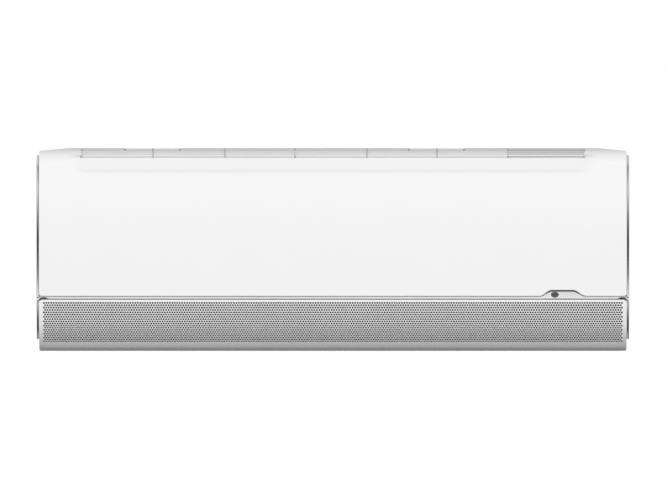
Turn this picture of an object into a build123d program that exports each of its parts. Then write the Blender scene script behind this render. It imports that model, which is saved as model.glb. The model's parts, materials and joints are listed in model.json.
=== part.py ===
from build123d import *
import os
from math import acos, asin, cos, degrees, pi, radians, sin, sqrt, tan

# Frame: X runs along the unit, +Z is up and the room lies towards -Y. The origin is the middle of the
# wall plate's back face. A depth u is the distance in front of the wall, so y = -u.

# Overall size
width = 940.0
height = 322.0
depth = 193.0
trim_proud = 3.8  # side trims beyond the white body
wall = 2.5  # moulded shell walls
seat = 0.3  # gap of a piece that rests on or beside another
seam = 1.6  # visible gap between outer covers
run = 0.05  # radial gap of a pin in its bore

# Side view of the casing
crown_z = 10.0
front_radius = 810.0
shoulder_radius = 29.5
flap_top_z = 81.8 - height / 2
flap_radius = 117.0
nose_radius = 36.0
top_slope_start = width / 2 - 52.0
top_slope_drop = 4.5
corner_radius = 3.5

# Front panel
panel_low_z = 88.0 - height / 2
panel_return = 14.0
panel_corner = 5.0
panel_hinge_u = depth - 44.0
panel_hinge_drop = 3.6
panel_edge_u = depth - 45.5
lip_low_z = height / 2 - 33.0
lip_top_z = height / 2 - 16.0
lip_proud = 1.9
crease_z = height / 2 - 40.5
shell_top_z = height / 2 - 44.0
panel_pin_radius = 1.5
panel_barrel_radius = 3.4

# Intake strip along the panel's top edge
strip_half = width / 2 - 70.0
strip_front_u = depth - 15.0
strip_back_u = depth - 44.6
filter_low_x = 2.7 - strip_half
filter_split_x = -60.0
filter_high_x = strip_half - 122.0
strip_bays = 3
groove_drops = (3.2, 6.3, 9.5, 13.8)  # below the casing's top
handle_width = 87.0

# Front frame
frame_back_u = 1.0
frame_edge_u = depth - 48.3
intake_low_u = 28.0
post_x = width / 2 - 170.0
intake_high_u = depth - 52.0
ledge_back_u = depth - 43.0
ledge_thickness = 4.4
guide_back_u = depth - 25.8
guide_front_u = depth - 19.6
filter_back_u = depth - 24.0
filter_thickness = 2.4
filter_low_z = 117.3 - height / 2

# Outlet trim and receiver window
trim_strip_depth = 7.4
trim_leg_depth = 28.0
trim_strip_height = 4.0
trim_leg_low_z = 19.0 - height / 2
trim_corner = 8.0
trim_top_z = height / 2 - 11.1
flap_corner = 6.3
flap_chamfer = 3.0
bump_low_x = (width / 2 - 141.4, width / 2 - 69.2)
bump_top_x = (width / 2 - 123.2, width / 2 - 89.2)
bump_height = 11.7
bump_plate = 4.0
lens_x = width / 2 - 118.0
lens_z = 89.8 - height / 2
lens_width = 12.4
lens_height = 10.3
board_u = depth - 15.4

# Flap
flap_hinge_u = depth - 63.0
flap_hinge_z = 11.0 - height / 2
flap_rear_u = depth - 71.0
skin_thickness = 1.2
carrier_thickness = 3.4
flap_gap = 3.6  # carrier to the casing behind it
flap_rib_count = 10
flap_rib_width = 6.0
flap_arm_x = (width / 2 - 15.5, width / 2 - 11.0)
flap_pin_radius = 2.5
flap_hub_radius = 5.8
gear_module = 1.25
sector_teeth = 32
pinion_teeth = 12
gear_backlash = 0.3

# Air duct and cross-flow fan
duct_left = 40.0 - width / 2
duct_right = width / 2 - 94.5
fan_u = depth - 105.0
fan_z = 131.0 - height / 2
fan_radius = 46.0
fan_left = duct_left + 5.0
fan_right = duct_right - 7.5
fan_rings = 9
fan_blades = 35
axle_radius = 4.0
scroll_back_u = depth - 159.0
scroll_top_z = fan_z + 54.0
scroll_radius = 60.0
lip_u = depth - 77.0
duct_lip_z = 19.0 - height / 2
flow_tilt = 40.0

# Swinging vanes and inner louver
vanes_per_side = 6
vane_setback = 22.0
vane_height = 64.0
vane_rise = 2.5
vane_thickness = 1.6
vane_front = 12.0
vane_rear_low = 26.0
vane_rear_high = 8.0
link_reach = 31.0
link_width = 6.4
link_thickness = 2.8
link_pin_radius = 1.5
vane_pin_radius = 2.0
louver_u = depth - 47.0
louver_z = 43.0 - height / 2
louver_half = 15.0
louver_thickness = 2.4
louver_pin_radius = 3.0

# Step motors
step_radius = 14.0
step_length = 19.0
step_ear_reach = 17.5

# Chassis
back_u = 8.0
chassis_half = width / 2 - 8.0
chassis_top_z = height / 2 - 11.0
channel_top_z = 49.0 - height / 2
channel_front_u = 62.0
bottom_front_u = depth - 77.6

# Evaporator, written as the inner edge of each slab
slab_thickness = 24.0
front_slab = ((depth - 52.0, 123.0 - height / 2), (depth - 52.0, height / 2 - 99.0))
upper_slab = ((depth - 47.0, height / 2 - 93.0), (depth - 88.0, height / 2 - 29.0))
rear_slab = ((depth - 105.0, height / 2 - 27.0), (depth - 155.0, height / 2 - 127.0))
plate_thickness = 1.5
tube_radius = 3.5
tube_pitch = 20.0
plate_tab = 7.0

# Pipes and their way out of the casing
pipe_exit_u = 56.0
pipe_exit_top_z = 47.0 - height / 2
knockout_groove = (1.2, 0.8)
gas_radius = 4.76
liquid_radius = 3.175
gas_x = width / 2 - 32.0
liquid_x = width / 2 - 18.0
gas_z = 29.0 - height / 2
liquid_z = 12.0 - height / 2
pipe_end_x = -60.0
foam_x = (-20.0, width / 2 - 140.0)
gas_foam_radius = 10.5
liquid_foam_radius = 9.0
gas_thread_radius = 7.94
liquid_thread_radius = 5.56

# Drain pan
pan_back_u = depth - 57.0
pan_front_u = depth - 27.0
pan_low_z = 95.0 - height / 2
pan_top_z = pan_low_z + 24.0
pan_right = duct_right + 9.5
pan_arm_x = (duct_left - 25.0, duct_left - 7.2)
pan_wall = 2.0
pan_floor = 6.0
pan_gap = 2.0  # between the pan and the duct's end walls under it
spout_u = 38.0
spout_radius = 8.5
spout_low_z = 46.0 - height / 2

# Fan motor
motor_x = (duct_right + 8.5, duct_right + 72.5)
motor_radius = 45.0
cradle_x = (duct_right + 26.5, duct_right + 52.5)
cradle_front_u = fan_u + 53.0
screw_places = (24.0 - width / 2, width / 2 - 30.0)

# Electrical box
box_x = (width / 2 - 69.4, width / 2 - 12.0)
box_u = (depth - 51.0, depth - 19.0)
box_z = (101.0 - height / 2, height / 2 - 53.0)
box_wall = 2.0
button_x = width / 2 - 42.0
button_z = 131.0 - height / 2
button_radius = 4.0
button_travel = 1.5

# Wall plate
plate_half = width / 2 - 110.0
plate_low_z = 61.0 - height / 2
plate_top_z = height / 2 - 33.0
plate_sheet = 1.2
plate_depth = 6.8
plate_hole_spacing_x = 600.0
plate_hole_spacing_z = 150.0
plate_hole_radius = 2.75
hook_x = 250.0
hook_width = 30.0

# Worked out from the sizes above
top_z = height / 2
bottom_z = -height / 2
body_half = width / 2 - trim_proud
front_centre = (depth - front_radius, crown_z)
shoulder_z = top_z - shoulder_radius
shoulder_tilt = degrees(asin((shoulder_z - crown_z) / (front_radius - shoulder_radius)))
shoulder_u = front_centre[0] + (front_radius - shoulder_radius) * cos(radians(shoulder_tilt))
flap_start_tilt = degrees(asin((crown_z - flap_top_z) / front_radius))
flap_centre = (
    front_centre[0] + (front_radius - flap_radius) * cos(radians(flap_start_tilt)),
    crown_z - (front_radius - flap_radius) * sin(radians(flap_start_tilt)),
)
flap_end_tilt = degrees(asin((flap_centre[1] - bottom_z - nose_radius) / (flap_radius - nose_radius)))
nose_centre = (
    flap_centre[0] + (flap_radius - nose_radius) * cos(radians(flap_end_tilt)),
    bottom_z + nose_radius,
)
panel_hinge_z = top_z - panel_hinge_drop
flap_inset = skin_thickness + carrier_thickness + flap_gap
trim_top_of_strip_z = flap_top_z + trim_strip_height + 0.8
vane_pitch = (duct_right - duct_left) / (2 * vanes_per_side)
vane_origin = (
    lip_u - vane_setback * cos(radians(flow_tilt)),
    duct_lip_z + vane_setback * sin(radians(flow_tilt)),
)
sector_radius = gear_module * sector_teeth / 2
pinion_radius = gear_module * pinion_teeth / 2
pinion_z = flap_hinge_z + sector_radius + pinion_radius
fins_x = (duct_left + plate_thickness, duct_right - plate_thickness)
screw_z = trim_top_of_strip_z - ledge_thickness - 6
guide_places = (filter_low_x - 2 * seat, filter_split_x, filter_high_x + 2 * seat)
LOW = (Align.CENTER, Align.CENTER, Align.MIN)


def polar(centre, radius, angle):
    return (centre[0] + radius * cos(radians(angle)), centre[1] + radius * sin(radians(angle)))


def arc(centre, radius, start, end):
    return ThreePointArc(*[polar(centre, radius, angle) for angle in (start, (start + end) / 2, end)])


def outline(*pieces):
    """Closed face through points and curves in turn, with straight lines between them."""
    edges = []
    ends = []
    for piece in pieces:
        is_point = isinstance(piece, tuple)
        start, end = (Vector(*piece), Vector(*piece)) if is_point else (piece @ 0, piece @ 1)
        if ends and (start - ends[-1]).length > 1e-6:
            edges.append(Line(ends[-1], start))
        if not is_point:
            edges.extend(piece.edges())
        ends += [start, end]
    if (ends[0] - ends[-1]).length > 1e-6:
        edges.append(Line(ends[-1], ends[0]))
    return make_face(edges)


def rounded(points, radii):
    return make_face(FilletPolyline(*points, radius=radii, close=True))


def prism(face, x_low, x_high):
    """Side-view face, drawn as depth and height, run along the unit."""
    plane = Plane(origin=(x_high, 0, 0), x_dir=(0, -1, 0), z_dir=(-1, 0, 0))
    return extrude(plane * face, x_high - x_low)


def elevation(face, u_low, u_high):
    """Front-view face run forward from one depth to another."""
    plane = Plane(origin=(0, -u_low, 0), x_dir=(1, 0, 0), z_dir=(0, -1, 0))
    return extrude(plane * face, u_high - u_low)


def block(x, u, z):
    centre = Pos((x[0] + x[1]) / 2, -(u[0] + u[1]) / 2, (z[0] + z[1]) / 2)
    return centre * Box(x[1] - x[0], u[1] - u[0], z[1] - z[0])


def rod(x, u, z, radius):
    """Cylinder along the unit."""
    return Pos((x[0] + x[1]) / 2, -u, z) * Rot(0, 90, 0) * Cylinder(radius, x[1] - x[0])


def post(x, u, z, radius):
    """Upright cylinder between two heights."""
    return Pos(x, -u, z[0]) * Cylinder(radius, z[1] - z[0], align=LOW)


def stud(x, u, z, radius):
    """Cylinder that runs forward between two depths."""
    return Pos(x, -u[0], z) * Rot(90, 0, 0) * Cylinder(radius, u[1] - u[0], align=LOW)


def mirrored(shape):
    return mirror(shape, about=Plane.YZ)


def both_sides(shape):
    return shape + mirrored(shape)


def span(middle, size):
    return (middle - size / 2, middle + size / 2)


def cut_across(shapes, heights=(), depths=()):
    """Cut mouldings at these heights and depths into pieces that touch one another."""
    for place in heights:
        shapes = halves(shapes, block((-width, width), (-depth, 2 * depth), (-2 * height, place)))
    for place in depths:
        shapes = halves(shapes, block((-width, width), (-depth, place), (-2 * height, 2 * height)))
    return shapes


def halves(shapes, side):
    pieces = [piece for shape in shapes for piece in (shape & side, shape - side)]
    return [piece for piece in pieces if piece and piece.volume > 0]


# Casing curves, all as insets from the visible surface


def front_depth(z, inset=0.0):
    return front_centre[0] + sqrt((front_radius - inset) ** 2 - (z - crown_z) ** 2)


def front_arcs(inset, z_low):
    """Bowed front from a height upwards, then the shoulder."""
    start = degrees(asin((z_low - crown_z) / (front_radius - inset)))
    return [
        arc(front_centre, front_radius - inset, start, shoulder_tilt),
        arc((shoulder_u, shoulder_z), shoulder_radius - inset, shoulder_tilt, 90),
    ]


def flap_arcs(inset, past=0.0):
    """Nose and flap curves, from the underside upwards, and on past the flap's top by an angle."""
    return [
        arc(nose_centre, nose_radius - inset, -90, -flap_end_tilt),
        arc(flap_centre, flap_radius - inset, -flap_end_tilt, past - flap_start_tilt),
    ]


def casing_arcs(inset):
    """The whole visible side-view curve, from the underside up to the top."""
    start_z = crown_z - (front_radius - inset) * sin(radians(flap_start_tilt))
    return [*flap_arcs(inset), *front_arcs(inset, start_z)]


def flap_band(near, far):
    """Side-view strip between two insets, which runs on past the flap's top for the elevation to trim."""
    past = 1.0
    inner = [
        arc(flap_centre, flap_radius - far, past - flap_start_tilt, -flap_end_tilt),
        arc(nose_centre, nose_radius - far, -flap_end_tilt, -90),
    ]
    return outline((flap_rear_u, bottom_z + near), *flap_arcs(near, past), *inner, (flap_rear_u, bottom_z + far))


def front_area(inset, z_low, u_back):
    """Side-view area behind the front and shoulder, back to a depth."""
    top = shoulder_z + shoulder_radius - inset
    return outline((u_back, z_low), *front_arcs(inset, z_low), (u_back, top))


def casing_elevation(inset, z_low, low_corner):
    """Front view of the casing, whose top slopes down to the sides."""
    side = body_half - inset
    top = top_z - inset
    points = [(-side, z_low), (side, z_low), (side, top - top_slope_drop)]
    points += [(top_slope_start, top), (-top_slope_start, top), (-side, top - top_slope_drop)]
    small = max(corner_radius - inset, 0.8)
    low = max(low_corner - inset, 0.5)
    return rounded(points, [low, low, small, 60, 60, small])


# Wall plate


def wall_plate():
    plate = block((-plate_half, plate_half), (0, plate_sheet), (plate_low_z, plate_top_z))
    rim = block((-plate_half, plate_half), (plate_sheet, plate_depth), (plate_low_z, plate_top_z))
    inner = (plate_low_z + plate_sheet, plate_top_z - plate_sheet)
    rim -= block((-plate_half + plate_sheet, plate_half - plate_sheet), (plate_sheet, plate_depth), inner)
    plate += rim
    for z in (plate_low_z + 40, plate_low_z + 120):
        plate += block(span(0, 2 * plate_half - 60), (plate_sheet, 3.2), span(z, 8.0))
    for x in (-hook_x, hook_x):
        lip_back = plate_depth - 1.8
        plate += block(span(x, hook_width), (lip_back, plate_depth), (plate_top_z, plate_top_z + 10))
        for low in (plate_low_z + 55, plate_low_z + 135):
            plate -= block(span(x, 80.0), (-1, plate_sheet + 1), (low, low + 30))
    for x in (-plate_hole_spacing_x / 2, plate_hole_spacing_x / 2):
        for z in (-plate_hole_spacing_z / 2, plate_hole_spacing_z / 2):
            plate -= stud(x, (-1, plate_depth), z, plate_hole_radius)
    return plate


# Chassis


def floor_point(along, above):
    """Depth and height of a point set out from the vane pivots along the duct floor and square to it."""
    tilt = radians(flow_tilt)
    return (
        vane_origin[0] + along * cos(tilt) + above * sin(tilt),
        vane_origin[1] - along * sin(tilt) + above * cos(tilt),
    )


def scroll_curve(outset, upwards=False):
    """Back wall and floor of the air duct, offset outwards."""
    lip = floor_point(vane_setback, -outset)
    back = scroll_back_u - outset
    corner_z = lip[1] + (lip[0] - back) * tan(radians(flow_tilt))
    points = [(back, scroll_top_z), (back, corner_z), lip]
    return FilletPolyline(*(points[::-1] if upwards else points), radius=scroll_radius + outset)


def slab_point(slab, share, outset):
    """Point along a slab's inner edge, moved away from the fan."""
    (u0, z0), (u1, z1) = slab
    length = sqrt((u1 - u0) ** 2 + (z1 - z0) ** 2)
    return (
        u0 + share * (u1 - u0) + outset * (z1 - z0) / length,
        z0 + share * (z1 - z0) - outset * (u1 - u0) / length,
    )


def slab_face(slab, near, far):
    corners = [slab_point(slab, *place) for place in ((0, near), (1, near), (1, far), (0, far))]
    return make_face(Polyline(*corners, close=True))


def duct_end_face():
    """End wall of the duct: inside the arch of the evaporator, and down to the mouth."""
    arch = [slab_point(slab, share, -1.0) for slab in (front_slab, upper_slab, rear_slab) for share in (0, 1)]
    lip = floor_point(vane_setback, -wall)
    mouth_u = ledge_back_u + 10
    under_ledge_z = trim_top_of_strip_z - ledge_thickness - 0.8
    behind_ledge_u = ledge_back_u - 2
    pan_side_u = pan_back_u - 1.6
    mouth = [(lip[0] + 2, lip[1]), (ledge_back_u, bottom_z + 34)]
    mouth += [(mouth_u, channel_top_z), (mouth_u, under_ledge_z), (behind_ledge_u, under_ledge_z)]
    mouth += [(behind_ledge_u, pan_low_z - pan_gap), (pan_side_u, pan_low_z - pan_gap), (pan_side_u, pan_top_z - 1)]
    outer_back = scroll_back_u - wall
    back = [(outer_back, scroll_top_z + wall), (outer_back, fan_z - 30)]
    back += [(scroll_back_u + 6, fan_z - 56), (scroll_back_u + 32, fan_z - 76)]
    return make_face(Polyline(*arch, *back, lip, *mouth, close=True))


def chassis():
    whole = (-chassis_half, chassis_half)
    inner_half = chassis_half - wall
    duct = (duct_left - wall, duct_right + wall)
    ceiling = (channel_top_z, channel_top_z + wall)
    back = (back_u, back_u + wall)
    body = block(whole, back, (channel_top_z, chassis_top_z))
    body += block(whole, (back_u, 18), (chassis_top_z - wall, chassis_top_z))
    body += block(whole, (back_u, channel_front_u + wall), ceiling)
    body += block(whole, (channel_front_u, channel_front_u + wall), (bottom_z, channel_top_z))
    body += block(whole, (channel_front_u, bottom_front_u), (bottom_z, bottom_z + wall))
    body += block(whole, (bottom_front_u - wall, bottom_front_u), (bottom_z, duct_lip_z - 1.5))
    scroll = outline(scroll_curve(0), scroll_curve(wall, upwards=True))
    body += prism(scroll, *duct)
    body += block(duct, (back[1], scroll_back_u), (scroll_top_z, scroll_top_z + wall))
    for side in ((duct_left - wall, duct_left), (duct_right, duct_right + wall)):
        body += prism(duct_end_face(), *side)
    under = [(channel_front_u + 1, bottom_z + 1), (bottom_front_u - 1, bottom_z + 1)]
    under += [floor_point(vane_setback - 3, -wall / 2), floor_point(-44, -wall / 2)]
    rib_face = make_face(Polyline(*under, close=True))
    for count in range(1, vanes_per_side):
        x = duct_left + 2 * vane_pitch * count
        body += prism(rib_face, *span(x, wall))
    side_points = [(back_u, channel_top_z), (back_u, chassis_top_z), (fan_u + 32, chassis_top_z)]
    side_points += [(fan_u + 32, fan_z - 10), (fan_u + 16, fan_z - 30), (fan_u + 16, bottom_z + 1)]
    side_points += [(channel_front_u, bottom_z + 1)]
    side_points += [(channel_front_u, channel_top_z)]
    body += both_sides(prism(make_face(Polyline(*side_points, close=True)), inner_half, chassis_half))
    for x in (-hook_x, hook_x):
        body += block(span(x, hook_width), (2.0, back_u + 1), (plate_top_z + 10, plate_top_z + 13))
        body += block(span(x, hook_width), (2.0, 4.4), (plate_top_z + 1, plate_top_z + 11))
    for x in (-post_x, 0, post_x):
        body += block(span(x, 16), (10, 18), (chassis_top_z - 1, top_z - wall))
    cradle = block(cradle_x, (back_u + 1, cradle_front_u), (channel_top_z + 7, fan_z))
    cradle += block(cradle_x, (channel_front_u, cradle_front_u), (channel_top_z, channel_top_z + 12))
    cradle += block(cradle_x, (channel_front_u, fan_u + 16), (bottom_z + 1, channel_top_z))
    cradle -= rod((cradle_x[0] - 1, cradle_x[1] + 1), fan_u, fan_z, motor_radius + seat)
    body += cradle
    shelf_u = (fan_u + 12, ledge_back_u)
    body += block((pan_arm_x[0] - 5.5, pan_arm_x[1] - 2), shelf_u, (pan_low_z - 24, pan_low_z))
    body += block((motor_x[1] - 16, inner_half + 1), shelf_u, (pan_low_z - 24, pan_low_z - 14))
    body += block((duct_right + 1, duct_right + 20), (fan_u + 32, louver_u + 1), (pan_low_z - 12, pan_low_z))
    mount_x = flap_arm_x[0] - 3.4
    mount_z = (flap_hinge_z + 13, flap_hinge_z + 50)
    body += block((mount_x, mount_x + 2.6), (shelf_u[0], flap_hinge_u + 18), mount_z)
    body += block((mount_x, inner_half + 1), (shelf_u[0] - 2, shelf_u[0] + 3.5), mount_z)
    for low in (box_z[0] + 40, box_z[0] + 120):
        body += block((motor_x[1] + 1.5, inner_half + 1), (fan_u + 30, box_u[0]), (low, low + 20))
    body -= rod((duct_left - 5, duct_left + 1), fan_u, fan_z, 12)
    body -= rod((duct_right - 1, duct_right + 5), fan_u, fan_z, 12)
    body -= rod((duct_left - 3, duct_left + 1), louver_u, louver_z, louver_pin_radius + run)
    body -= rod((duct_right - 1, duct_right + 3), louver_u, louver_z, louver_pin_radius + run)
    body -= rod((mount_x - 1, mount_x + 4), flap_hinge_u, pinion_z, 6)
    sector_slot = (flap_arm_x[0] - 1, inner_half)
    body -= block(sector_slot, (bottom_front_u - wall - 1, bottom_front_u + 1), (flap_hinge_z - 4, duct_lip_z))
    body -= post(gas_x, slab_tube(rear_slab, -1, 0)[0], (channel_top_z - 3, channel_top_z + 5), gas_radius + 1)
    body -= post(liquid_x, slab_tube(rear_slab, -1, 1)[0], (channel_top_z - 3, channel_top_z + 5), liquid_radius + 1)
    body -= post(sum(pan_arm_x) / 2, spout_u, (channel_top_z - 3, channel_top_z + 5), spout_radius + 1)
    for x in screw_places:
        body -= stud(x, (ledge_back_u - 16, ledge_back_u + 1), screw_z, 1.85)
    for x in vane_places():
        body -= peg(x, 0, -wall - 1, 1, vane_pin_radius + run)
    return cut_across([body], (channel_top_z, pan_low_z - pan_gap, pan_top_z - 1))


def frame_screws():
    """Screws that hold the front frame to the chassis, in the outlet under the flap."""
    screws = []
    for x in screw_places:
        head_u = ledge_back_u + wall
        screw = stud(x, (ledge_back_u - 14, head_u), screw_z, 1.8)
        screw += stud(x, (head_u, head_u + 2.4), screw_z, 3.6)
        screw -= block(span(x, 0.9), (head_u + 1.2, head_u + 3), span(screw_z, 5))
        screw -= block(span(x, 5), (head_u + 1.2, head_u + 3), span(screw_z, 0.9))
        screws.append(screw)
    return screws


# Front frame and covers


def strip_arcs(inset=0.0, downwards=False):
    """Sloped arc of the intake strip, from its front edge up to the top face."""
    start = (strip_front_u - inset, lip_top_z)
    middle = (strip_front_u - 11.5 - 0.7 * inset, top_z - 5.1 - 0.7 * inset)
    points = [start, middle, (strip_back_u, top_z - inset)]
    return ThreePointArc(*(points[::-1] if downwards else points))


def frame_side_face():
    """Side-view area that the front frame may fill."""
    cut = seat * 2 + panel_return
    arcs = [arc(nose_centre, nose_radius - flap_inset, -90, -flap_end_tilt)]
    arcs += [arc(flap_centre, flap_radius - flap_inset, -flap_end_tilt, -flap_start_tilt)]
    ledge_low = trim_top_of_strip_z - ledge_thickness
    ledge_top = panel_low_z - 0.8
    face = outline(
        (frame_back_u, bottom_z),
        (bottom_front_u - wall, bottom_z),
        (bottom_front_u - wall, bottom_z + flap_inset),
        *arcs,
        (front_depth(ledge_low, trim_strip_depth + 1), ledge_low),
        (front_depth(ledge_top, trim_strip_depth + 1), ledge_top),
        (front_depth(ledge_top, cut), ledge_top),
        *front_arcs(cut, ledge_top),
        (strip_back_u - 0.5, shoulder_z + shoulder_radius - cut),
        (strip_back_u - 0.5, top_z),
        (frame_back_u, top_z),
    )
    swept = flap_rear_reach() + 0.8
    return face - Pos(flap_hinge_u, flap_hinge_z) * Circle(swept)


def flap_rear_reach():
    return sqrt((flap_hinge_u - flap_rear_u) ** 2 + (flap_hinge_z - bottom_z) ** 2)


def front_frame():
    whole = (-body_half, body_half)
    shell = elevation(casing_elevation(0, bottom_z, 0.6), frame_back_u, depth)
    shell -= elevation(casing_elevation(wall, bottom_z - 9, 0.6), 0, depth + 1)
    body = shell & prism(frame_side_face(), *whole)
    shoulder_u = (frame_edge_u, panel_hinge_u + 11)
    body -= both_sides(block((strip_half, body_half + 1), shoulder_u, (shoulder_z, top_z + 1)))
    body -= block((-strip_half, strip_half), (intake_low_u, intake_high_u), (chassis_top_z, top_z + 1))
    ledge_low = trim_top_of_strip_z - ledge_thickness
    ledge_front = front_depth(ledge_low, trim_strip_depth) - seat
    inner = (-body_half + wall / 2, body_half - wall / 2)
    body += block(inner, (ledge_back_u, ledge_front), (ledge_low, panel_low_z - 0.8))
    for x in screw_places:
        flange = block(span(x, 12), (ledge_back_u, ledge_back_u + wall), (ledge_low - 12, ledge_low + 1))
        body += flange - stud(x, (ledge_back_u - 1, ledge_back_u + wall + 1), screw_z, 1.85)
    for x in guide_places:
        body += filter_guide(x)
    low = (guide_places[0], guide_places[-1])
    body += block(low, (guide_back_u, guide_front_u), (filter_low_z - seat - 4, filter_low_z - seat))
    body += both_sides(flap_lug())
    body += both_sides(strip_end())
    body += block((lens_x - 17, lens_x + 40), (guide_back_u + 0.8, board_u), (panel_low_z - 2, panel_low_z + 2))
    body -= block((-body_half - 1, -body_half + wall + 1), (0, pipe_exit_u), (bottom_z - 1, pipe_exit_top_z))
    return cut_across([body - knockout_score()], (ledge_low, panel_low_z - 0.8))


def knockout_score():
    """Groove round the corner that breaks out for a pipe exit on the right, like the open one on the left."""
    groove_width, groove_depth = knockout_groove
    x = (body_half - groove_depth, body_half + 1)
    upright = block(x, span(pipe_exit_u, groove_width), (bottom_z - 1, pipe_exit_top_z))
    return upright + block(x, (0, pipe_exit_u + groove_width / 2), span(pipe_exit_top_z, groove_width))


def flap_lug():
    """Lug inside the casing's end wall, with the pin that the flap turns on."""
    x = (flap_arm_x[1] + 2.0, body_half - wall - seat)
    lug = rod(x, flap_hinge_u, flap_hinge_z, flap_hub_radius)
    neck_u = (flap_hinge_u - 5.4, flap_hinge_u + 2.6)
    lug += block(x, neck_u, (flap_hinge_z, flap_hinge_z + 30))
    lug += block((x[0], body_half - wall / 2), neck_u, (flap_hinge_z + 17, flap_hinge_z + 30))
    return lug + rod((flap_arm_x[0], x[0] + 1), flap_hinge_u, flap_hinge_z, flap_pin_radius)


def strip_end():
    """Plate at the end of the intake strip, with the pin that the front panel swings on."""
    face = outline(
        (strip_back_u - 2, shoulder_z),
        (guide_back_u + 2.8, shoulder_z),
        (strip_front_u - 1.5, lip_top_z - 3),
        strip_arcs(1.0),
        (strip_back_u - 2, top_z - 1),
    )
    plate = prism(face, strip_half - 2.2, strip_half - 0.2)
    pin = rod((strip_half - 1, strip_half + 6.2), panel_hinge_u, panel_hinge_z, panel_pin_radius)
    plate_x = (strip_half - 2.2, strip_half - 0.2)
    rail = block(plate_x, (guide_back_u, guide_back_u + 2.8), (panel_low_z - 1, shoulder_z + 1))
    web = block(plate_x, (intake_high_u + seat, strip_back_u), (shoulder_z, top_z - wall / 2))
    return plate + pin + rail + web


def filter_guide(x):
    """Upright guide whose flanges hold the edges of the filters."""
    z = (panel_low_z - 1, shell_top_z - 4)
    web = block(span(x, 1.2), (guide_back_u, guide_front_u), z)
    back = block(span(x, 9), (guide_back_u, filter_back_u - seat), z)
    front = block(span(x, 9), (filter_back_u + filter_thickness + seat, guide_front_u), z)
    return web + back + front


def intake_grille():
    """Slatted grille in the frame's top opening."""
    half = strip_half - seat
    u = (intake_low_u + seat, intake_high_u - seat)
    z = (top_z - wall, top_z)
    grille = block((-half, half), u, z) - block((-half + 4, half - 4), (u[0] + 4, u[1] - 4), (z[0] - 1, z[1] + 1))
    slats = 12
    for count in range(1, slats):
        centre = u[0] + (u[1] - u[0]) * count / slats
        grille += block((-half + 1, half - 1), span(centre, 2.0), z)
    cross_ribs = 14
    for count in range(1, cross_ribs):
        x = -half + 2 * half * count / cross_ribs
        grille += block(span(x, 2.0), (u[0] + 1, u[1] - 1), (z[0], z[1] - 0.6))
    for x in (-post_x, 0, post_x):
        grille += block(span(x, 16), (intake_low_u + 4, intake_low_u + 12), (z[0] - 3, z[0] + 1))
    return grille


def strip_cover(x_low, x_high):
    """Part of the intake strip, a thin shell on the strip's arc."""
    return prism(outline(strip_arcs(), strip_arcs(2.2, downwards=True)), x_low, x_high)


def strip_groove(x_low, x_high, z, size):
    """Rod on the strip's arc, at a height, that cuts a groove or a slot."""
    section = strip_arcs()
    place = min((section @ (step / 200) for step in range(201)), key=lambda point: abs(point.Y - z))
    return rod((x_low, x_high), place.X, z, size)


def vent_grille():
    """Fixed slats at the right end of the strip."""
    x = (filter_high_x + 0.6, strip_half - 2.2 - seat)
    grille = strip_cover(*x)
    for drop in groove_drops:
        grille -= strip_groove(x[0] + 2.5, x[1] - 2.5, top_z - drop, 1.0)
    grille += block(x, (strip_back_u, strip_back_u + 3.6), (top_z - 9, top_z - 1))
    return grille


def air_filter(x_low, x_high):
    """Slide-in filter frame, with its part of the intake strip and a pull handle on top."""
    cover = strip_cover(x_low, x_high)
    bay = (x_high - x_low) / strip_bays
    for count in range(strip_bays):
        for drop in groove_drops:
            cover -= strip_groove(x_low + bay * count + 3, x_low + bay * (count + 1) - 3, top_z - drop, 0.7)
    u = (filter_back_u, filter_back_u + filter_thickness)
    edge = (x_low + 2.0, x_high - 2.0)
    rim = block(edge, u, (filter_low_z, top_z - 9))
    for column in range(4):
        for row in range(3):
            cell_x = span(edge[0] + (column + 0.5) * (edge[1] - edge[0]) / 4, (edge[1] - edge[0]) / 4 - 7)
            rise = (lip_top_z - 12 - filter_low_z) / 3
            cell_z = span(filter_low_z + (row + 0.5) * rise, rise - 6)
            rim -= block(cell_x, (u[0] - 1, u[1] + 1), cell_z)
    handle_x = span(x_low + bay * (1 if x_low < filter_split_x - 100 else 2), handle_width)
    handle = block(handle_x, (strip_back_u + 7.6, strip_back_u + 9.6), (top_z - 3.6, top_z - 0.4))
    return cover + rim + handle


def filter_mesh(x_low, x_high):
    """Dust mesh that lies against the back of a filter's frame."""
    edge = (x_low + 5.0, x_high - 5.0)
    return block(edge, (filter_back_u - 0.3, filter_back_u), (filter_low_z + 2, lip_top_z - 10))


def bump_face(gap):
    """Receiver hump in the outlet trim, with S-shaped flanks."""
    low_z = trim_top_of_strip_z - trim_strip_height + gap
    top = trim_top_of_strip_z + bump_height + gap
    middle_left = ((bump_low_x[0] + bump_top_x[0]) / 2 - gap, (trim_top_of_strip_z + top) / 2)
    middle_right = ((bump_low_x[1] + bump_top_x[1]) / 2 + gap, (trim_top_of_strip_z + top) / 2)
    rim = trim_top_of_strip_z + (gap if gap else 0)
    left = Spline((bump_low_x[0] - gap, rim), middle_left, (bump_top_x[0], top), tangents=((1, 0), (1, 0)))
    right = Spline((bump_top_x[1], top), middle_right, (bump_low_x[1] + gap, rim), tangents=((1, 0), (1, 0)))
    return outline((bump_low_x[0] - gap, low_z), left, right, (bump_low_x[1] + gap, low_z))


def panel_elevation(inset):
    return casing_elevation(inset, panel_low_z + inset, panel_corner)


def panel_shell(inset):
    """Solid block behind the panel's outer faces, set in by a wall."""
    block_face = front_area(inset, panel_low_z - 5, panel_edge_u - (5 if inset else 0))
    return prism(block_face, -body_half, body_half) & elevation(panel_elevation(inset), 100, depth + 1)


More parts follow.
